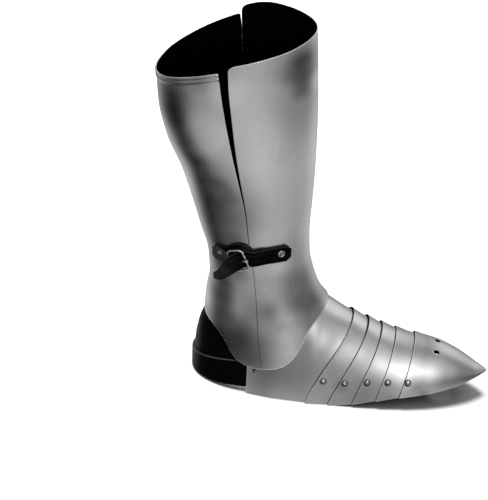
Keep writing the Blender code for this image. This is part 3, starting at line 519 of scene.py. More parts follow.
GREAVE_REAR, GREAVE_FRONT, GREAVE_HALF = curves(GREAVE)
[EDGE_HEIGHT] = curves(LOWER_EDGE)
[FRONT_RIM_HEIGHT] = curves(FRONT_RIM)
[CALF_RIM_HEIGHT] = curves(CALF_RIM)
[BEAD_RISE] = curves(BEAD)
SEAM_ALONG, SEAM_GAP, OUTER_ALONG = curves(SEAM)
[OUTER_SEAM_GAP] = curves(OUTER_GAP)
FOOT_HALF, FOOT_LOW, FOOT_TOP, FOOT_ROUND = curves(FOOT)
COUNTER_REAR, COUNTER_HALF = curves(COUNTER)
[PAD_TOP] = curves(PAD)


def signed_power(value, power):
    """Power of a number that keeps its sign."""
    return math.copysign(abs(value) ** power, value)


def stretch(curve, at):
    """How much longer a lift along one axis is than the same lift square to the surface."""
    return math.hypot(1.0, (curve(at + 1.0) - curve(at - 1.0)) / 2.0)


def greave_point(angle, height, lift=0.0):
    """Point of the leg tube; angle 0 is the shin, 90 degrees the outer side."""
    front = GREAVE_FRONT(height) + lift * stretch(GREAVE_FRONT, height)
    rear = GREAVE_REAR(height) - lift * stretch(GREAVE_REAR, height)
    half = GREAVE_HALF(height) + lift
    power = 2.0 / GREAVE_ROUNDNESS
    centre = (front + rear) / 2
    along = centre + (front - centre) * signed_power(math.cos(angle), power)
    return Vector((along, half * signed_power(math.sin(angle), power), height))


def greave_angle(along, height):
    """Angle, from 0 to pi, at which the leg tube reaches a distance along the foot."""
    front, rear = GREAVE_FRONT(height), GREAVE_REAR(height)
    share = (along - (front + rear) / 2) / ((front - rear) / 2)
    share = min(max(share, -1.0), 1.0)
    return math.acos(signed_power(share, GREAVE_ROUNDNESS / 2))


def inner_side_point(along, height, lift=0.0):
    """Point on the greave's inner side at a distance along the foot."""
    return greave_point(-greave_angle(along, height), height, lift)


def foot_point(along, turn, lift=0.0):
    """Point of the arch over the foot; turn runs from the outer lower edge over the crown."""
    half = FOOT_HALF(along) + lift * stretch(FOOT_HALF, along)
    top = FOOT_TOP(along) + lift * stretch(FOOT_TOP, along)
    low = FOOT_LOW(along)
    power = 2.0 / FOOT_ROUND(along)
    side = half * signed_power(math.cos(turn), power)
    return Vector((along, side, low + (top - low) * abs(math.sin(turn)) ** power))


def foot_turn(along, height):
    """Turn at which the arch reaches a height on the outer side."""
    low, top = FOOT_LOW(along), FOOT_TOP(along)
    return math.asin(((height - low) / (top - low)) ** (FOOT_ROUND(along) / 2))


def outward_normal(point_at, u, v):
    """Unit normal of a two-parameter surface, pointing away from the foot's middle plane."""
    along_u = point_at(u + NORMAL_STEP, v) - point_at(u - NORMAL_STEP, v)
    along_v = point_at(u, v + NORMAL_STEP) - point_at(u, v - NORMAL_STEP)
    normal = along_u.cross(along_v).normalized()
    return normal if normal.y * point_at(u, v).y > 0 else -normal


def to_world(point):
    """Millimetres from the side plates' rear edge, as metres in the frame."""
    return Vector((point[0] * MM + REAR_EDGE, point[1] * MM, point[2] * MM))


class Term:
    """One socket's number. Arithmetic on it adds Math nodes to its tree."""

    def __init__(self, tree, socket):
        self.tree = tree
        self.socket = socket

    def __add__(self, other):
        return self.tree.math("ADD", self, other)

    __radd__ = __add__

    def __sub__(self, other):
        return self.tree.math("SUBTRACT", self, other)

    def __rsub__(self, other):
        return self.tree.math("SUBTRACT", other, self)

    def __mul__(self, other):
        return self.tree.math("MULTIPLY", self, other)

    __rmul__ = __mul__

    def span(self, low, high):
        """0 at low, 1 at high, held outside them."""
        return self.tree.node("ShaderNodeMapRange", {"clamp": True, "interpolation_type": "SMOOTHSTEP"},
                              {"Value": self, "From Min": low, "From Max": high})


class Tree:
    """Nodes of one material or of the world."""

    def __init__(self, node_tree):
        self.nodes = node_tree.nodes
        self.links = node_tree.links

    def node(self, kind, options=None, inputs=None, output=0):
        """Add a node: its settings first, then its sockets' values or links."""
        made = self.nodes.new(kind)
        for name, value in (options or {}).items():
            setattr(made, name, value)
        for name, value in (inputs or {}).items():
            self.feed(made.inputs[name], value)
        return Term(self, made.outputs[output]) if made.outputs else None

    def feed(self, socket, value):
        """Link a term to a socket, or set the socket's own value."""
        if isinstance(value, Term):
            self.links.new(value.socket, socket)
        else:
            socket.default_value = value

    def shade(self, inputs):
        """Set or link sockets of the material's Principled shader."""
        for name, value in inputs.items():
            self.feed(self.nodes["Principled BSDF"].inputs[name], value)

    def math(self, operation, *values):
        """Math on numbers."""
        return self.node("ShaderNodeMath", {"operation": operation}, dict(enumerate(values)))

    def vector(self, operation, first, second, output=0):
        """Vector Math on two vectors."""
        return self.node("ShaderNodeVectorMath", {"operation": operation}, {0: first, 1: second}, output)

    def coordinate(self, where, axis):
        """One coordinate of a vector."""
        return self.node("ShaderNodeSeparateXYZ", None, {"Vector": where}, axis)

    def mix(self, factor, first, second, blend="MIX"):
        """Mix of two colours."""
        options = {"data_type": "RGBA", "blend_type": blend}
        inputs = {"Factor": factor, MIX_FIRST: first, MIX_SECOND: second}
        return self.node("ShaderNodeMix", options, inputs, MIX_RESULT)

    def grey(self, value):
        """A number as a grey colour."""
        return self.mix(value, (0.0, 0.0, 0.0, 1.0), (1.0, 1.0, 1.0, 1.0))

    def place(self):
        """Position on the piece, in metres."""
        return self.node("ShaderNodeTexCoord", output="Object")

    def noise(self, where, scale, detail=2.0, rough=0.5, stretched=None):
        """Noise from 0 to 1; stretched gives the scale's share along each axis."""
        if stretched:
            where = self.vector("MULTIPLY", where, stretched)
        inputs = {"Vector": where, "Scale": scale, "Detail": detail, "Roughness": rough}
        return self.node("ShaderNodeTexNoise", None, inputs, "Fac")

    def attribute(self, name):
        """Number kept on the mesh's points."""
        return self.node("ShaderNodeAttribute", {"attribute_name": name}, None, "Fac")

    def spot(self, where, centre, radius):
        """1 at a point of the frame, falling to 0 at a radius."""
        far = self.vector("DISTANCE", where, to_world(centre), "Value")
        return 1.0 - far.span(0.0, radius * MM)

    def bump(self, height, distance, strength):
        """Normal bumped by a height from 0 to 1, over a distance in millimetres."""
        return self.node("ShaderNodeBump", None,
                         {"Strength": strength, "Distance": distance * MM, "Height": height})


def surface(name, fixed):
    """A material whose Principled shader has these fixed values, and its tree."""
    made = bpy.data.materials.new(name)
    made.use_nodes = True
    tree = Tree(made.node_tree)
    tree.shade(fixed)
    return made, tree


def rgba(colour, share=1.0):
    """An opaque colour, darkened or brightened by a share."""
    return (*(share * part for part in colour), 1.0)


def steel_finish(name, painted_reflections, marks=(), shine=0.0):
    """Satin steel: fine scratches, painted reflections, a few small marks, and abraded edges with a
    painted highlight.

    Shine adds a painted highlight to the edges below SHINE_HEIGHTS.
    """
    group = settings("steel")
    made, tree = surface(name, {})
    where = tree.place()
    haze = tree.noise(where, 14.0, 3.0, 0.6, (1.0, 1.0, 0.6))
    cloud = tree.noise(where, 60.0, 3.0, 0.65, (1.0, 1.0, 0.5))
    rubs = tree.noise(where, 260.0, 2.0, 0.6, (1.0, 1.0, 0.12))
    edge = tree.attribute("edge")
    # Lighter edges: partly abrasion, partly painted highlight
    worn_and_lit = edge.span(0.7, 1.0)
    tone = 0.46 + 0.28 * haze + 0.14 * cloud + 0.05 * (rubs - 0.5) + 0.2 * worn_and_lit
    for mark in marks:
        ragged = tree.spot(where, mark[:3], mark.radius) * tree.noise(where, 900.0, 2.0).span(0.3, 0.6)
        tone = tone - 0.3 * ragged
    # Painted reflections, and painted shade round the rivets, darken and lighten the tone
    beside = tree.vector("MULTIPLY", where, (1.0, 0.0, 1.0))
    inner = 1.0 - 0.6 * tree.coordinate(where, "Y").span(*PAINTED_REFLECTION_FADE)
    for row in painted_reflections:
        spot = tree.spot(beside, (row.along, 0.0, row.height), row.radius)
        tone = tone * (1.0 + row.tone * inner * spot)
    # Painted highlight along the greave's lower edges
    if shine:
        tone = tone + shine * worn_and_lit * (1.0 - tree.coordinate(where, "Z").span(*SHINE_HEIGHTS))
    dents = tree.noise(where, 18.0, 1.0)
    tree.shade({
        "Base Color": tree.mix(1.0, rgba(group.colour), tree.grey(tone), "MULTIPLY"),
        "Metallic": 1.0 - 0.2 * worn_and_lit,
        "Roughness": group.roughness + 0.10 * (cloud - 0.5) + 0.10 * (rubs - 0.5) - 0.05 * edge,
        "Normal": tree.bump(dents + 0.02 * rubs, 1.2, 0.35),
    })
    return made


def blacking_finish(name):
    """Flat black paint on the inside of the plates."""
    group = settings("steel")
    made, tree = surface(name, {"Specular IOR Level": 0.02})
    patch = tree.noise(tree.place(), 60.0, 3.0)
    tree.shade({
        "Base Color": tree.mix(patch, rgba(group.blacking), rgba(group.blacking, 2.0)),
        "Roughness": 0.7 + 0.2 * patch,
    })
    return made


def fitting_finish(name, roughness, bright=1.0):
    """Metal with a little tarnish, for rivets, buckle and hinges; a rivet's dome darkens towards its rim as
    painted shade.
    """
    group = settings("fittings")
    made, tree = surface(name, {"Metallic": 1.0})
    where = tree.place()
    tarnish = tree.noise(where, 420.0, 3.0)
    # Tarnish, and painted shade that darkens a rivet's dome towards its rim
    clean_and_lit = tarnish.span(0.3, 0.62) * (1.0 - tree.attribute("rim").span(0.5, 0.8))
    tree.shade({
        "Base Color": tree.mix(clean_and_lit, rgba(group.colour, 0.16 * bright), rgba(group.colour, bright)),
        "Roughness": roughness + 0.12 * tarnish,
        "Normal": tree.bump(tree.noise(where, 900.0, 2.0), 0.12, 0.4),
    })
    return made


def heel_finish(name):
    """Smooth black leather with a fine grain and soft folds; painted highlight on the upper edges and
    painted sheen at the rear.
    """
    group = settings("leather")
    made, tree = surface(name, {"Specular IOR Level": 0.03})
    where = tree.place()
    grain = tree.node("ShaderNodeTexVoronoi", {"feature": "DISTANCE_TO_EDGE"},
                      {"Vector": where, "Scale": 650.0}, "Distance").span(0.0, 0.35)
    fold = tree.noise(where, 55.0, 3.0, 0.55, (1.0, 1.0, 2.2))
    edge = tree.attribute("edge")
    # Painted sheen at the heel's rear, broken up by noise, and painted highlight on the upper edges
    rear = tree.spot(tree.vector("MULTIPLY", where, (1.0, 0.0, 0.4)), HEEL_SHEEN_PLACE, HEEL_SHEEN_RADIUS)
    upper = tree.coordinate(where, "Z").span(0.02, 0.04)
    painted_sheen = 0.22 * upper * edge.span(0.85, 1.0) + 2.0 * rear * tree.noise(where, 60.0, 3.0)
    tree.shade({
        "Base Color": tree.mix(painted_sheen, rgba(group.colour), HEEL_SHEEN_COLOUR),
        "Roughness": group.heel_roughness + 0.12 * fold - 0.1 * edge,
        "Normal": tree.bump(0.15 * grain + fold, 0.9, 0.5),
    })
    return made


def strap_finish(name, pale):
    """Strap leather: long creases with painted highlights, fine grain, paler scuffed edges with a painted
    highlight, and a paler free end, partly abraded and partly painted light.
    """
    group = settings("leather")
    made, tree = surface(name, {"Specular IOR Level": 0.03})
    where = tree.place()
    grain = tree.noise(where, 1100.0, 3.0)
    wander = tree.attribute("across") + 0.10 * tree.noise(where, 60.0, 2.0)
    crease = 1.0 - tree.math("MINIMUM", tree.math("PINGPONG", wander, 0.17) * 12.0, 1.0)
    broken = crease * tree.noise(where, 90.0, 2.0, 0.5, (1.0, 1.0, 3.0)).span(0.42, 0.6)
    # Paler free end: partly abrasion, partly painted light
    worn_and_lit = tree.noise(where, 75.0, 2.0).span(0.45, 0.7)
    tail = tree.attribute("along").span(0.5, 0.9) * (0.18 + 0.14 * worn_and_lit)
    # Painted highlight on the edges and along the creases, with abrasion on the edges
    rubbed_and_sheen = pale + 0.25 * tree.attribute("edge").span(0.7, 1.0) + 0.08 * broken + tail
    tree.shade({
        "Base Color": tree.mix(rubbed_and_sheen * grain, rgba(group.colour), STRAP_SCUFF_AND_SHEEN),
        "Roughness": group.strap_roughness + 0.25 * (grain - 0.5),
        "Normal": tree.bump(0.25 * grain - 0.9 * broken, 0.5, 0.6),
    })
    return made


# Each finish: the function that makes it, and what it is given after the name
FINISHES = {
    "Greave steel": (steel_finish, GREAVE_PAINTED_REFLECTIONS, GREAVE_MARKS, GREAVE_SHINE),
    "Sabaton steel": (steel_finish, FOOT_PAINTED_REFLECTIONS),
    "Blackened steel": (blacking_finish,),
    "Bright fittings": (fitting_finish, 0.18),
    "Hinge steel": (fitting_finish, 0.32),
    "Heel rivets": (fitting_finish, 0.4, 0.35),
    "Heel leather": (heel_finish,),
    "Strap leather": (strap_finish, 0.0),
    "Chape leather": (strap_finish, 0.4),
}


def finish(name):
    """A finish by its name, made the first time that it is asked for."""
    if name in bpy.data.materials:
        return bpy.data.materials[name]
    maker, *details = FINISHES[name]
    return maker(name, *details)


def add_object(name, data):
    """A new object in the scene."""
    made = bpy.data.objects.new(name, data)
    bpy.context.collection.objects.link(made)
    return made


def add_mesh(name, points, faces):
    """A new mesh object from points in millimetres."""
    mesh = bpy.data.meshes.new(name)
    mesh.from_pydata([to_world(p) for p in points], [], faces)
    return add_object(name, mesh)


def add_piece(node, points, faces, finishes, inner_faces=0, values=None, name=None):
    """Add a piece that stands for a CAD node and rides on its body.

    The last inner_faces have the second finish. The values are numbers kept on the points.
    """
    made = add_mesh(name or node + "_fine", points, faces)
    mesh = made.data
    for word in finishes:
        mesh.materials.append(finish(word))
    if inner_faces:
        for face in mesh.polygons[-inner_faces:]:
            face.material_index = 1
    for label, numbers in (values or {}).items():
        mesh.attributes.new(label, "FLOAT", "POINT").data.foreach_set("value", numbers)
    mesh.shade_smooth()
    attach(made, BODY_OF[node])
    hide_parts(node)
    return made


def border_of(rows, columns):
    """Grid places round the border, in order."""
    ring = [(0, c) for c in range(columns)]
    ring += [(r, columns - 1) for r in range(1, rows)]
    ring += [(rows - 1, c) for c in range(columns - 2, -1, -1)]
    return ring + [(r, 0) for r in range(rows - 2, 0, -1)]


def facing_out(points, faces):
    """The faces of a closed mesh, turned round where they point in."""
    volume = 0.0
    for face in faces:
        for i in range(1, len(face) - 1):
            volume += points[face[0]].dot(points[face[i]].cross(points[face[i + 1]]))
    return [face[::-1] for face in faces] if volume < 0 else faces


def sheet(node, grids, finishes, extra=None, worn_and_lit_rows=True):
    """Sheet between two grids of points, the outer side first, with rounded edges all round.

    The second finish, where there is one, covers the inner side. The edges get a value that the
    finishes turn into abrasion and painted highlights, those of the first and last row only when asked
    for. Extra holds more numbers for the grid's points.
    """
    outer, inner = ([[p.copy() for p in row] for row in grid] for grid in grids)
    rows, columns = len(outer), len(outer[0])
    ring = border_of(rows, columns)
    rolled = []
    for row, column in ring:
        near_row = min(max(row, 1), rows - 2)
        near_column = min(max(column, 1), columns - 2)
        top, low = outer[row][column], inner[row][column]
        half = (top - low) / 2
        out = (top + low - outer[near_row][near_column] - inner[near_row][near_column]) / 2
        out -= half * (out.dot(half) / max(half.length_squared, TINY))
        radius = min(half.length, EDGE_ROUND * out.length)
        out = out.normalized() * radius if out.length > TINY else out
        middle = (top + low) / 2 - out
        rolled.append([middle + half * math.cos(math.radians(t)) + out * math.sin(math.radians(t))
                       for t in EDGE_TURNS])
        outer[row][column] = middle + half
        inner[row][column] = middle - half
    points = [p for grid in (outer, inner) for line in grid for p in line]
    # The edge value, which the finishes turn into abrasion and painted highlights
    wear_and_sheen = []
    for grid in (outer, inner):
        for line in grid:
            for c, p in enumerate(line):
                ends = (line[0], line[-1], grid[0][c], grid[-1][c])[:4 if worn_and_lit_rows else 2]
                wear_and_sheen.append(math.exp(-min((p - end).length for end in ends) / EDGE_WEAR_AND_SHEEN))
    values = {"edge": wear_and_sheen, **{label: list(numbers) * 2 for label, numbers in (extra or {}).items()}}

    def index(row, column):
        return row * columns + column

    back = rows * columns
    first = len(points)
    for place, arc in zip(ring, rolled):
        points += arc
        for numbers in values.values():
            numbers += [numbers[index(*place)]] * len(arc)
    faces, lining = [], []
    for row in range(rows - 1):
        for column in range(columns - 1):
            quad = [index(row, column), index(row + 1, column),
                    index(row + 1, column + 1), index(row, column + 1)]
            faces.append(quad)
            lining.append([back + corner for corner in reversed(quad)])
    steps = len(EDGE_TURNS)
    bands = []
    for i, place in enumerate(ring):
        start = first + i * steps
        bands.append([index(*place), *range(start, start + steps), back + index(*place)])
    for here, there in zip(bands, bands[1:] + bands[:1]):
        for k in range(steps + 1):
            strip = faces if k < steps // 2 + 1 else lining
            strip.append([here[k], there[k], there[k + 1], here[k + 1]])
    inner_faces = len(lining) if len(finishes) > 1 else 0
    return add_piece(node, points, facing_out(points, faces + lining), finishes, inner_faces, values)


def turned_mesh(profile, centre, axis, sides):
    """Points and faces of a solid turned round an axis from (radius, distance) points."""
    square = axis.to_track_quat("Z", "Y").to_matrix()
    points, faces, rings = [], [], []
    for radius, distance in profile:
        if radius == 0:
            rings.append([len(points)])
            points.append(centre + axis * distance)
            continue
        rings.append(list(range(len(points), len(points) + sides)))
        for i in range(sides):
            angle = 2 * math.pi * i / sides
            spoke = square @ Vector((math.cos(angle), math.sin(angle), 0.0))
            points.append(centre + spoke * radius + axis * distance)
    for before, after in zip(rings, rings[1:]):
        for i in range(sides):
            j = (i + 1) % sides
            corners = [before[i % len(before)], before[j % len(before)],
                       after[j % len(after)], after[i % len(after)]]
            faces.append(list(dict.fromkeys(corners))[::-1])
    return points, faces


def joined(solids):
    """The points and faces of several solids as one list of each."""
    points, faces = [], []
    for more, sides in solids:
        faces += [[len(points) + corner for corner in face] for face in sides]
        points += more
    return points, faces


def cut_away(made, solids, lining=None):
    """Cut solids out of a piece. The cut's walls have the lining's finish, where there is one."""
    points, faces = joined(solids)
    tool = add_mesh(made.name + "_cut", points, facing_out(points, faces))
    cut = made.modifiers.new("cut", "BOOLEAN")
    cut.operation = "DIFFERENCE"
    cut.object = tool
    if lining:
        tool.data.materials.append(finish(lining))
        cut.material_mode = "TRANSFER"
    ready = bpy.data.meshes.new_from_object(made.evaluated_get(bpy.context.evaluated_depsgraph_get()))
    old = made.data
    made.modifiers.clear()
    made.data = ready
    bpy.data.meshes.remove(old)
    bpy.data.objects.remove(tool, do_unlink=True)


def rivet(node, seat, axis, grip, head, dome, washer=0.0, look="Bright fittings"):
    """Domed rivet with a rounded rim and a flat tail."""
    profile = [(0, dome)]
    for step in range(1, DOME_STEPS + 1):
        turn = math.radians(DOME_TURN * step)
        profile.append((head * math.sin(turn) / math.sin(math.radians(DOME_TURN * DOME_STEPS)),
                        dome * (math.cos(turn) - DOME_CUT) / (1 - DOME_CUT)))
    if washer:
        profile.append((head * 0.93, 0.35))
        profile += [(washer * share, off) for share, off in WASHER_BRIM]
    else:
        profile += [(head * share, off) for share, off in RIVET_BRIM]
    tail = grip + 2 * CLEARANCE
    profile += [(RIVET_SHANK, -0.05), (RIVET_SHANK, -tail + 0.1)]
    profile += [(radius, -tail - depth) for radius, depth in RIVET_TAIL]
    points, faces = turned_mesh(profile, seat, axis, RIVET_SIDES)
    # Reach as a share of the head's radius; the finish paints shade with it towards the dome's rim
    reaches = [(point - seat).cross(axis).length / head for point in points]
    rim = [reach if reach < 1.05 else 0.0 for reach in reaches]
    add_piece(node, points, faces, (look,), values={"rim": rim})


def fine_shares(length, step, corner=0.0):
    """Shares from 0 to 1 along a length, closer together at both ends and over a round corner."""
    close = [*EDGE_ROWS, *(corner * share for share in CORNER_SHARES if corner * share > CORNER_FROM)]
    near = [distance / length for distance in close]
    count = max(2, round(length / step))
    least = LEAST_STEP / count
    middle = [i / count for i in range(1, count) if near[-1] < i / count - least]
    middle = [share for share in middle if share < 1 - near[-1] - least]
    return near + middle + [1 - share for share in reversed(near)]


def settle(height, target):
    """Height at which a plate's column meets an edge that depends on that height."""
    for _ in range(SETTLE_ROUNDS):
        height += 0.5 * (target(height) - height)
    return height


def plate_angles(is_front, height):
    """The angles of a greave plate's two vertical edges, inner side first."""
    inner, outer = SEAM_ALONG(height), OUTER_ALONG(height)
    if is_front:
        return -greave_angle(inner, height), greave_angle(outer, height)
    inner -= SEAM_GAP(height)
    outer -= OUTER_SEAM_GAP(height)
    return 2 * math.pi - greave_angle(inner, height), greave_angle(outer, height)


def greave_grid(is_front, lift):
    """Rows of points over one greave plate, from its lower edge to its rim."""
    rim_height = FRONT_RIM_HEIGHT if is_front else CALF_RIM_HEIGHT
    corner = FRONT_CORNER if is_front else CALF_CORNER
    step = settings("steel").mesh / MM
    bead = 0.0 if is_front else BEAD[-1].drop
    drops = [] if is_front else [bead * i / BEAD_STEPS for i in range(BEAD_STEPS, 0, -1)]
    grid = []
    for share in fine_shares(PLATE_ARC, step, corner):
        def angle_at(height):
            return between(*plate_angles(is_front, height), share)

        def edge_at(height):
            return EDGE_HEIGHT(greave_point(angle_at(height), height).x)

        def rim_at(height):
            off_edge = min(share, 1 - share) * PLATE_ARC
            into = max(corner - off_edge, 0.0)
            rim = rim_height(math.degrees(angle_at(height)))
            return rim - corner + math.sqrt(corner ** 2 - into ** 2)

        low = settle(LOW_START, edge_at)
        high = settle(HIGH_START, rim_at)
        body_top = high - bead - BEAD_ROOM
        heights = [between(low, body_top, s) for s in fine_shares(PLATE_HEIGHT, 2 * step)]
        heights += [high - drop for drop in drops] + [high]
        line = []
        for height in heights:
            rise = BEAD_RISE(high - height) if high - height < bead else 0.0
            line.append(greave_point(angle_at(height), height, lift + rise))
        grid.append(line)
    return grid


def outer_seam_frame(height):
    """Middle of the seam on the outer side at a height, with its up, forward and outward directions."""
    def at(level):
        along = OUTER_ALONG(level) - HINGE_GAP / 2
        return greave_point(greave_angle(along, level), level)

    up = (at(height + 5) - at(height - 5)).normalized()
    angle = greave_angle(OUTER_ALONG(height), height)
    ahead = greave_point(angle - 0.02, height) - greave_point(angle + 0.02, height)
    ahead = (ahead - up * ahead.dot(up)).normalized()
    out = up.cross(ahead)
    out = out if out.y > 0 else -out
    return at(height), up, ahead, out.normalized()


def notch_box(height):
    """Box round a hinge's barrel."""
    middle, up, ahead, out = outer_seam_frame(height)
    corners = [middle + ahead * a * NOTCH_HALF + out * b * NOTCH_DEPTH + up * c * NOTCH_LENGTH / 2
               for a in (-1, 1) for b in (-1, 1) for c in (-1, 1)]
    return corners, BOX_FACES


class SABATON_OT_greave(Operator):
    """Build the greave's front plate and its calf plate with the rolled bead."""

    bl_idname = "sabaton.greave"
    bl_label = "Greave plates"

    def execute(self, context):
        wall = settings("steel").wall / MM
        for node, is_front in (("front_plate", True), ("calf_plate", False)):
            grids = [greave_grid(is_front, lift) for lift in (0.0, -wall)]
            made = sheet(node, grids, ("Greave steel", "Blackened steel"), worn_and_lit_rows=False)
            cut_away(made, [notch_box(row.height) for row in HINGES])
        return {"FINISHED"}


def line_at(low, crown, turn):
    """Distance along the foot of a slanting edge at one turn."""
    return between(low, crown, abs(math.sin(turn)) ** LINE_SLANT)


def layer(turn):
    """Steel and gap between two overlapping plates."""
    return STEEL + LAME_GAP_SIDE + (LAME_GAP_TOP - LAME_GAP_SIDE) * abs(math.sin(turn))


def plate_front(index, turn):
    """Front edge of the plate behind line number index."""
    line = LINES[index]
    return line_at(line.low, line.crown, turn) + OVERLAP


def plate_lift(index, along, turn):
    """Lift of the plate behind line number index; each plate slopes down under the next one."""
    if index == len(LINES):
        under = plate_front(-1, turn)
        if along < under:
            return layer(turn) * (1 + (under - along) / visible(index - 1, turn))
        return layer(turn) * (TOE_TIP - along) / (TOE_TIP - under)
    reach = plate_front(index, turn) - along
    if index == 0:
        reach = min(reach, OVERLAP)
    return layer(turn) * reach / visible(max(index, 1), turn)


def visible(index, turn):
    """Visible width of the plate behind line number index."""
    here, behind = LINES[index], LINES[index - 1]
    return line_at(here.low, here.crown, turn) - line_at(behind.low, behind.crown, turn)


def rear_wing(turn):
    """Rear edge of the rear plate: upright at the sides, running forward over the instep."""
    share = abs(math.sin(turn)) ** WING_CURVE
    past = max(share - SIDE_WING_SHARE, 0.0) / (1 - SIDE_WING_SHARE)
    return ANKLE_OPENING_CROWN * past ** WING_CURVE


def plate_span(index, turn):
    """Where a plate of the foot's arch starts and ends at one turn."""
    if index == 0:
        return rear_wing(turn), plate_front(0, turn)
    behind = LINES[index - 1]
    start = line_at(behind.low, behind.crown, turn)
    return start, TOE_TIP if index == len(LINES) else plate_front(index, turn)


def arch_grid(index, lift):
    """Rows of points over one plate of the foot's arch, from its rear edge forward."""
    step = settings("steel").mesh / MM
    crown_start, crown_end = plate_span(index, math.pi / 2)
    turns = [math.pi * part for part in fine_shares(FOOT_ARC, step)]
    grid = []
    for share in fine_shares(crown_end - crown_start, step):
        row = []
        for turn in turns:
            along = between(*plate_span(index, turn), share)
            row.append(foot_point(along, turn, plate_lift(index, along, turn) + lift))
        grid.append(row)
    return grid


def lace_hole(side):
    """Round solid that cuts one lacing hole."""
    forward, outward = LACE_HOLE_LEAN
    centre = Vector((LACE_HOLE_ALONG, side * LACE_HOLE_SIDE, FOOT_TOP(LACE_HOLE_ALONG)))
    axis = Vector((forward, side * outward, 1.0)).normalized()
    profile = ((0, -LACE_HOLE_REACH), (LACE_HOLE_RADIUS, -LACE_HOLE_REACH),
               (LACE_HOLE_RADIUS, LACE_HOLE_REACH), (0, LACE_HOLE_REACH))
    return turned_mesh(profile, centre, axis, LACE_HOLE_SIDES)


class SABATON_OT_foot(Operator):
    """Build the rear plate, the lames and the pointed toe cap with its lacing holes."""

    bl_idname = "sabaton.foot"
    bl_label = "Foot plates"

    def execute(self, context):
        wall = settings("steel").wall / MM
        for index, node in enumerate(["rear_plate"] + [line.node for line in LINES]):
            grids = [arch_grid(index, lift) for lift in (0.0, -wall)]
            made = sheet(node, grids, ("Sabaton steel", "Blackened steel"))
            if node == "toe_cap":
                cut_away(made, [lace_hole(side) for side in (1, -1)], "Blackened steel")
        return {"FINISHED"}


class SABATON_OT_lame_rivets(Operator):
    """Set the domed rivets on which the lames turn."""

    bl_idname = "sabaton.lame_rivets"
    bl_label = "Lame rivets"

    def execute(self, context):
        group = settings("fittings")
        for index, line in enumerate(LINES, 1):
            turn = foot_turn(line.rivet_along, line.rivet_height)
            lift = plate_lift(index, line.rivet_along, turn)
            for side, mark in SIDES:
                seat = foot_point(line.rivet_along, turn, lift)
                axis = outward_normal(lambda u, v: foot_point(u, v, lift), line.rivet_along, turn)
                seat.y, axis.y = side * seat.y, side * axis.y
                rivet(f"{line.node}_rivet_{mark}", seat, axis, layer(turn) + STEEL,
                      group.head / MM, group.dome / MM)
        return {"FINISHED"}


def leaf_grid(row, direction, lift):
    """Rows of points over a hinge leaf, from the barrel away."""
    grid = []
    for i in range(LEAF_STEPS + 1):
        reach = LEAF_START + (LEAF_WIDTH - LEAF_START) * i / LEAF_STEPS
        line = []
        for j in range(LEAF_STEPS + 1):
            level = row.height + LEAF_HEIGHT * (j / LEAF_STEPS - 0.5)
            along = OUTER_ALONG(level) - HINGE_GAP / 2 + direction * reach
            line.append(greave_point(greave_angle(along, level), level, lift))
        grid.append(line)
    return grid


def hinge_leaf(row, mark, direction):
    """One leaf behind its plate, with its knuckles round the pin."""
    node = f"{row.label}_hinge_{mark}_leaf"
    grids = [leaf_grid(row, direction, -STEEL - row.seat - depth) for depth in (0.0, LEAF_STEEL)]
    sheet(node, grids, ("Hinge steel", "Blackened steel"))
    middle, up = outer_seam_frame(row.height)[:2]
    share = BARREL_LENGTH / 3
    half = share / 2 - CLEARANCE / 2
    round_radius = BARREL_RADIUS - KNUCKLE_ROUND
    ring = ((BARREL_BORE, -half), (round_radius, -half), (BARREL_RADIUS, -half + KNUCKLE_ROUND),
            (BARREL_RADIUS, half - KNUCKLE_ROUND), (round_radius, half), (BARREL_BORE, half),
            (BARREL_BORE, -half))
    for band in (0,) if direction > 0 else (-1, 1):
        points, faces = turned_mesh(ring, middle + up * (band * share), up, KNUCKLE_SIDES)
        add_piece(node, points, faces, ("Hinge steel",), name=f"{node}_knuckle{band + 1}")


class SABATON_OT_hinges(Operator):
    """Build the two hinges: leaves with their knuckles, pins and rivets."""

    bl_idname = "sabaton.hinges"
    bl_label = "Hinges"

    def execute(self, context):
        for row in HINGES:
            middle, up = outer_seam_frame(row.height)[:2]
            pin = [(radius, PIN_REACH + past) for radius, past in PIN_TIP]
            pin += [(radius, -PIN_REACH - past) for radius, past in reversed(PIN_TIP)]
            points, faces = turned_mesh(pin, middle, up, PIN_SIDES)
            add_piece(f"{row.label}_hinge_pin", points, faces, ("Hinge steel",))
            for direction, mark in ((1, "front"), (-1, "calf")):
                hinge_leaf(row, mark, direction)
                for step, word in ((1, "top"), (-1, "low")):
                    level = row.height + step * LEAF_RIVET_UP
                    angle = greave_angle(OUTER_ALONG(level) + direction * LEAF_RIVET_ALONG, level)
                    axis = outward_normal(greave_point, angle, level)
                    rivet(f"{row.label}_hinge_rivet_{mark}_{word}", greave_point(angle, level), axis,
                          STEEL + row.seat + LEAF_STEEL, *HINGE_RIVET_HEAD)
        return {"FINISHED"}


def heel_ring(rear, half, front):
    """Plan of the heel leather: straight beside the foot, half an ellipse behind it."""
    ring = [(front, half), (front * 0.5, half)]
    for i in range(HEEL_STEPS + 1):
        angle = math.pi * i / HEEL_STEPS
        ring.append((-rear * math.sin(angle), half * math.cos(angle)))
    return ring + [(front * 0.5, -half), (front, -half)]


def counter_grid(inward):
    """Rows of points round the heel counter, from its lower edge up."""
    bottom, top = COUNTER[0].height, COUNTER[-1].height
    grid = []
    for share in fine_shares(top - bottom, HEEL_MESH):
        height = between(bottom, top, share)
        ring = heel_ring(-COUNTER_REAR(height) - inward, COUNTER_HALF(height) - inward, COUNTER_FRONT)
        grid.append([Vector((x, y, height)) for x, y in ring])
    return grid


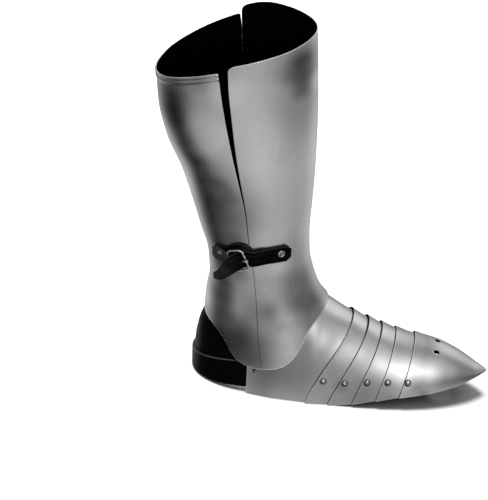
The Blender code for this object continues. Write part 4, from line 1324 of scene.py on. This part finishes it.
def heel_strap_grid(inward):
    """Rows of points round the heel strap, from its lower edge up."""
    ring = heel_ring(HEEL_BAND_REAR - inward, HEEL_BAND_HALF - inward, HEEL_BAND_FRONT)
    grid = []
    for share in fine_shares(HEEL_BAND_WIDTH, HEEL_MESH):
        line = []
        for x, y in ring:
            back = clamped(-x / HEEL_BAND_REAR)
            low = between(*HEEL_BAND_LOW, back)
            high = between(*HEEL_BAND_TOP, back ** HEEL_BAND_CURVE)
            line.append(Vector((x, y, between(low, high, share))))
        grid.append(line)
    return grid


class SABATON_OT_heel(Operator):
    """Build the heel counter, the heel strap and their rivets."""

    bl_idname = "sabaton.heel"
    bl_label = "Heel leather"

    def execute(self, context):
        counter = [counter_grid(inward) for inward in (0.0, COUNTER_LEATHER)]
        sheet("heel_counter", counter, ("Heel leather",))
        strap = [heel_strap_grid(inward) for inward in (0.0, LEATHER)]
        sheet("heel_strap", strap, ("Heel leather",))
        along, height = HEEL_RIVET
        turn = foot_turn(along, height)
        for side, mark in SIDES:
            seat = foot_point(along, turn, plate_lift(0, along, turn))
            seat.y *= side
            grip = abs(seat.y) - COUNTER[1].half_width + COUNTER_LEATHER
            rivet(f"heel_rivet_{mark}", seat, Vector((0.0, side, 0.0)), grip, *HEEL_RIVET_HEAD,
                  look="Heel rivets")
        return {"FINISHED"}


class SABATON_OT_studs(Operator):
    """Set the studs that hold the rear plate inside the greave's lobes."""

    bl_idname = "sabaton.studs"
    bl_label = "Ankle studs"

    def execute(self, context):
        along, height = ANKLE_STUD
        turn = foot_turn(along, height)
        room = abs(greave_point(greave_angle(along, height), height, -STEEL).y)
        for side, mark in SIDES:
            seat = foot_point(along, turn, plate_lift(0, along, turn))
            top = room - seat.y - STUD_ROOM
            seat.y *= side
            profile = [(radius, top + past) for radius, past in STUD_TIP] + list(STUD_SHANK)
            points, faces = turned_mesh(profile, seat, Vector((0.0, side, 0.0)), STUD_SIDES)
            add_piece(f"ankle_stud_{mark}", points, faces, ("Hinge steel",))
        return {"FINISHED"}


def strap_rows():
    """Rows of the strap from its riveted end to its free end, by the distance along its middle."""
    half = STRAP_WIDTH / 2
    rows = [(STRAP_END, STRAP_LEVEL + half, STRAP_END, STRAP_LEVEL - half, STRAP_SEAT)]
    for i in range(STRAP_STEPS + 1):
        share = i / STRAP_STEPS
        along = between(STRAP_END - STRAP_CORNER, STRAP_STRAIGHT, share)
        level = STRAP_LEVEL - STRAP_DROP * share ** 2
        lift = STRAP_SEAT + (PAD_THICKNESS + CLEARANCE) * clamped(3.5 * share - 2.0)
        rows.append((along, level + half, along, level - half, lift))
    rows += STRAP_TAIL
    middles = [Vector(((high_along + low_along) / 2, (high + low) / 2, lift))
               for high_along, high, low_along, low, lift in rows]
    reach = 0.0
    placed = []
    for i, row in enumerate(rows):
        reach += (middles[i] - middles[i - 1]).length if i else 0.0
        placed.append((reach, *row))
    return placed


def strap_lines():
    """Lines across the strap, from its riveted end to its free end."""
    rows = strap_rows()
    columns = curves(rows)
    length = rows[-1][0]
    lines = []
    for share in fine_shares(length, STRAP_MESH, STRAP_CORNER):
        reach = share * length
        trim = max(STRAP_CORNER - reach, 0.0)
        high_along, high, low_along, low, lift = [column(reach) for column in columns]
        high, low = high - trim, low + trim
        lines.append([(between(high_along, low_along, s), between(high, low, s), lift)
                      for s in fine_shares(STRAP_WIDTH, STRAP_MESH)])
    return lines


def pad_lines():
    """Lines down the ragged pad behind the buckle."""
    first, last = PAD[0].along, PAD[-1].along
    lines = []
    for share in fine_shares(last - first, PAD_MESH):
        along = between(first, last, share)
        top = PAD_TOP(along) + PAD_RAG * math.sin(along * PAD_WAVES[0]) * math.sin(along * PAD_WAVES[1])
        lines.append([(along, between(top, PAD_LOW, s), STRAP_SEAT)
                      for s in fine_shares(PAD_HEIGHT, PAD_MESH)])
    return lines


def chape_lines():
    """Lines across the tab that runs from its rivet, round the buckle's bar and back under itself."""
    half = CHAPE_WIDTH / 2
    bar = Vector(BUCKLE_MIDDLE) - Vector((math.cos(BUCKLE_TILT), math.sin(BUCKLE_TILT))) * BUCKLE_WIDTH / 2
    path = [(CHAPE_END + CHAPE_STEP * i, CHAPE_BASE) for i in range(CHAPE_STEPS)]
    path += [(along, CHAPE_BASE + rise) for along, rise in CHAPE_BEND]
    for turn in CHAPE_TURNS:
        angle = math.radians(turn)
        lift = BUCKLE_LIFT[0] + CHAPE_WRAP * math.sin(angle) - CHAPE_SAG
        path.append((bar.x + CHAPE_WRAP * math.cos(angle), lift))
    lines = []
    for i, (along, lift) in enumerate(path):
        past = clamped((along - CHAPE_END) / (bar.x - CHAPE_END))
        reach = half * (1.0 - CHAPE_TAPER * past ** 2) - max(CHAPE_CORNER - CHAPE_STEP * i, 0.0)
        level = between(CHAPE_LEVEL, bar.y, past)
        lean = math.tan(BUCKLE_TILT) * max(3.0 * past - 2.0, 0.0)
        lines.append([(along - lean * rise, level + rise, lift)
                      for rise in (reach - 2 * reach * s for s in fine_shares(CHAPE_WIDTH, STRAP_MESH))])
    return lines


def side_ribbon(node, lines, thickness, look):
    """Leather strip on the greave's inner side from lines of (along, height, lift) points."""
    grids = [[[inner_side_point(along, height, lift + depth) for along, height, lift in line]
              for line in lines] for depth in (thickness, 0.0)]
    count, width = len(lines), len(lines[0])
    run = [r / (count - 1) for r in range(count) for _ in range(width)]
    across = [c / (width - 1) for _ in range(count) for c in range(width)]
    sheet(node, grids, (look,), {"along": run, "across": across})


class SABATON_OT_strap(Operator):
    """Build the ankle strap with its free end, the buckle chape, the pad and their rivets."""

    bl_idname = "sabaton.strap"
    bl_label = "Ankle strap"

    def execute(self, context):
        thick = settings("leather").strap / MM
        side_ribbon("ankle_strap", strap_lines(), thick, "Strap leather")
        for row, lift in zip(STRAP_RIVETS, (STRAP_SEAT + thick, CHAPE_BASE + CHAPE_LEATHER)):
            angle = -greave_angle(row.along, row.height)
            axis = outward_normal(greave_point, angle, row.height)
            rivet(row.node, greave_point(angle, row.height, lift), axis, lift + STEEL, row.head, row.dome,
                  row.washer)
        side_ribbon("backing_pad", pad_lines(), PAD_THICKNESS, "Strap leather")
        side_ribbon("buckle_chape", chape_lines(), CHAPE_SHEET, "Chape leather")
        return {"FINISHED"}


def tube(node, path, radii, closed=False):
    """Round bar of the buckle along a path, each point with its own radius."""
    count = len(path)
    points, faces = [], []
    side = None
    for i, point in enumerate(path):
        before = path[i - 1] if closed or i else path[0]
        after = path[(i + 1) % count] if closed or i < count - 1 else path[-1]
        ahead = (after - before).normalized()
        side = side or ahead.orthogonal()
        side = (side - ahead * side.dot(ahead)).normalized()
        other = ahead.cross(side)
        for k in range(TUBE_SIDES):
            angle = 2 * math.pi * k / TUBE_SIDES
            points.append(point + (side * math.cos(angle) + other * math.sin(angle)) * radii[i])
    rings = [range(i * TUBE_SIDES, (i + 1) * TUBE_SIDES) for i in range(count)]
    for here, there in zip(rings, rings[1:] + (rings[:1] if closed else [])):
        for k in range(TUBE_SIDES):
            n = (k + 1) % TUBE_SIDES
            faces.append([here[k], here[n], there[n], there[k]])
    if not closed:
        faces += [list(reversed(rings[0])), list(rings[-1])]
    add_piece(node, points, facing_out(points, faces), ("Bright fittings",))


def frame_path():
    """Points of the buckle's frame, a rounded rectangle on the greave's inner side."""
    flat = []
    for right, up, start in ((1, 1, 0), (-1, 1, 90), (-1, -1, 180), (1, -1, 270)):
        for turn in BUCKLE_TURNS:
            angle = math.radians(start + turn)
            flat.append((right * (BUCKLE_WIDTH / 2 - BUCKLE_CORNER) + BUCKLE_CORNER * math.cos(angle),
                         up * (BUCKLE_HEIGHT / 2 - BUCKLE_CORNER) + BUCKLE_CORNER * math.sin(angle)))
    path = []
    turned = Matrix.Rotation(BUCKLE_TILT, 2)
    for here, there in zip(flat, flat[1:] + flat[:1]):
        pieces = max(1, round(math.dist(here, there)))
        for k in range(pieces):
            across, rise = Vector(here).lerp(Vector(there), k / pieces)
            along, level = Vector(BUCKLE_MIDDLE) + turned @ Vector((across, rise))
            path.append(inner_side_point(along, level, between(*BUCKLE_LIFT, across / BUCKLE_WIDTH + 0.5)))
    return path


class SABATON_OT_buckle(Operator):
    """Bend the buckle's wire frame and its prong."""

    bl_idname = "sabaton.buckle"
    bl_label = "Buckle"

    def execute(self, context):
        wire = settings("fittings").wire / MM
        path = frame_path()
        radii = [wire * (1.0 + WIRE_WAVE[0] * math.sin(WIRE_WAVE[1] * i)) for i in range(len(path))]
        tube("buckle_frame", path, radii, closed=True)
        shares = [i / PRONG_STEPS for i in range(PRONG_STEPS + 1)]
        path = []
        for share in shares:
            along, level = Vector(PRONG_START).lerp(Vector(PRONG_END), share)
            lift = PRONG_LIFT + PRONG_ARCH * math.sin(math.pi * (0.15 + 0.6 * share))
            path.append(inner_side_point(along, level, lift))
        radii = [PRONG_RADIUS * (1.0 - PRONG_TAPER * share ** 2) for share in shares]
        tube("buckle_prong", path, radii)
        return {"FINISHED"}


def toward(patch):
    """Unit vector to a patch of the studio."""
    azimuth, elevation = math.radians(patch.azimuth), math.radians(patch.elevation)
    return (math.cos(elevation) * math.sin(azimuth), -math.cos(elevation) * math.cos(azimuth),
            math.sin(elevation))


def patch_shape(tree, where, patch):
    """1 towards a patch, falling softly to 0 beside it."""
    sharp = 1.0 / (1.0 - math.cos(math.radians(patch.width)))
    near = tree.vector("DOT_PRODUCT", where, toward(patch), "Value")
    return tree.math("EXPONENT", (near - 1.0) * sharp)


def studio_world(fill):
    """World: white to the camera and the floor, a soft studio with darker corners to the steel."""
    world = bpy.data.worlds.new("Studio")
    world.use_nodes = True
    world.node_tree.nodes.clear()
    tree = Tree(world.node_tree)
    where = tree.node("ShaderNodeTexCoord", output="Generated")
    height = tree.coordinate(where, "Z")
    light = STUDIO_BASE + FLOOR_GLOW * (0.0 - height).span(*FLOOR_BAND)
    for patch in LIGHTS:
        light = light + patch.strength * patch_shape(tree, where, patch)
    for patch in FLAGS:
        light = light * (1.0 - patch.strength * patch_shape(tree, where, patch))
    glossy = tree.node("ShaderNodeLightPath", None, None, "Is Glossy Ray")
    diffuse = tree.node("ShaderNodeLightPath", None, None, "Is Diffuse Ray")
    strength = glossy * light + diffuse * (fill * height.span(*DOME)) + (1.0 - glossy - diffuse)
    back = tree.node("ShaderNodeBackground", None, {"Color": (1, 1, 1, 1), "Strength": strength})
    tree.node("ShaderNodeOutputWorld", None, {"Surface": back})
    return world


def add_floor(colour, width):
    """Pale floor under the piece."""
    half = width / 2
    mesh = bpy.data.meshes.new("floor")
    mesh.from_pydata([(-half, -half, 0), (half, -half, 0), (half, half, 0), (-half, half, 0)], [],
                     [(0, 1, 2, 3)])
    floor = add_object("floor", mesh)
    made, tree = surface("Floor", {"Roughness": 0.9, "Specular IOR Level": 0.1})
    grain = tree.noise(tree.place(), 30.0, 2.0)
    tree.shade({"Base Color": tree.mix(grain, rgba(colour, 0.99), rgba(colour))})
    mesh.materials.append(made)
    floor.visible_glossy = False


def add_lamp(strength):
    """Soft light from above and a little from the camera's side."""
    lamp = bpy.data.lights.new("overhead", "SUN")
    lamp.energy = strength
    lamp.angle = LAMP_ANGLE
    made = add_object("overhead", lamp)
    made.rotation_euler = LAMP_TURN
    made.visible_glossy = False


def add_camera():
    """Camera at the photograph's viewpoint."""
    lens = bpy.data.cameras.new("camera")
    lens.lens = CAMERA_LENS
    lens.shift_x = CAMERA_SHIFT
    lens.clip_end = CAMERA_REACH
    camera = add_object("camera", lens)
    forward = Vector((math.sin(CAMERA_YAW) * math.cos(CAMERA_PITCH),
                      math.cos(CAMERA_YAW) * math.cos(CAMERA_PITCH), -math.sin(CAMERA_PITCH)))
    turn = forward.to_track_quat("-Z", "Y").to_matrix().to_4x4()
    roll = Matrix.Rotation(CAMERA_ROLL, 4, "Z")
    camera.matrix_world = Matrix.Translation(to_world(CAMERA_PLACE)) @ turn @ roll
    return camera


class SABATON_OT_stage(Operator):
    """Set the floor, the soft light and the camera."""

    bl_idname = "sabaton.stage"
    bl_label = "Stage"

    def execute(self, context):
        scene = context.scene
        group = settings("studio")
        add_floor(group.floor, group.width)
        add_lamp(group.key)
        scene.world = studio_world(group.fill)
        scene.view_settings.view_transform = "Standard"
        scene.camera = add_camera()
        return {"FINISHED"}


STEPS = (
    SABATON_OT_stage, SABATON_OT_greave, SABATON_OT_foot, SABATON_OT_lame_rivets, SABATON_OT_hinges,
    SABATON_OT_heel, SABATON_OT_studs, SABATON_OT_strap, SABATON_OT_buckle,
)


GROUPS = {
    "steel": SteelSettings,
    "leather": LeatherSettings,
    "fittings": FittingSettings,
    "studio": StudioSettings,
}


class SABATON_PT_panel(Panel):
    """Lists the sizes, the colours and the steps that build the sabaton."""

    bl_idname = "SABATON_PT_panel"
    bl_label = "Sabaton and Greave"
    bl_space_type = "VIEW_3D"
    bl_region_type = "UI"
    bl_category = "Sabaton"

    def draw(self, context):
        for group in GROUPS:
            box = self.layout.box()
            for name in GROUPS[group].__annotations__:
                box.prop(settings(group), name)
        for step in STEPS:
            self.layout.operator(step.bl_idname)


def register():
    for kind in (*GROUPS.values(), *STEPS, SABATON_PT_panel):
        bpy.utils.register_class(kind)
    for name, kind in GROUPS.items():
        setattr(bpy.types.Scene, f"sabaton_{name}", PointerProperty(type=kind))


def unregister():
    for name in GROUPS:
        delattr(bpy.types.Scene, f"sabaton_{name}")
    for kind in (SABATON_PT_panel, *reversed(STEPS), *reversed(GROUPS.values())):
        bpy.utils.unregister_class(kind)


def main():
    """Build every piece."""
    register()
    bpy.ops.sabaton.stage()
    bpy.ops.sabaton.greave()
    bpy.ops.sabaton.foot()
    bpy.ops.sabaton.lame_rivets()
    bpy.ops.sabaton.hinges()
    bpy.ops.sabaton.heel()
    bpy.ops.sabaton.studs()
    bpy.ops.sabaton.strap()
    bpy.ops.sabaton.buckle()


if __name__ == "__main__":
    main()
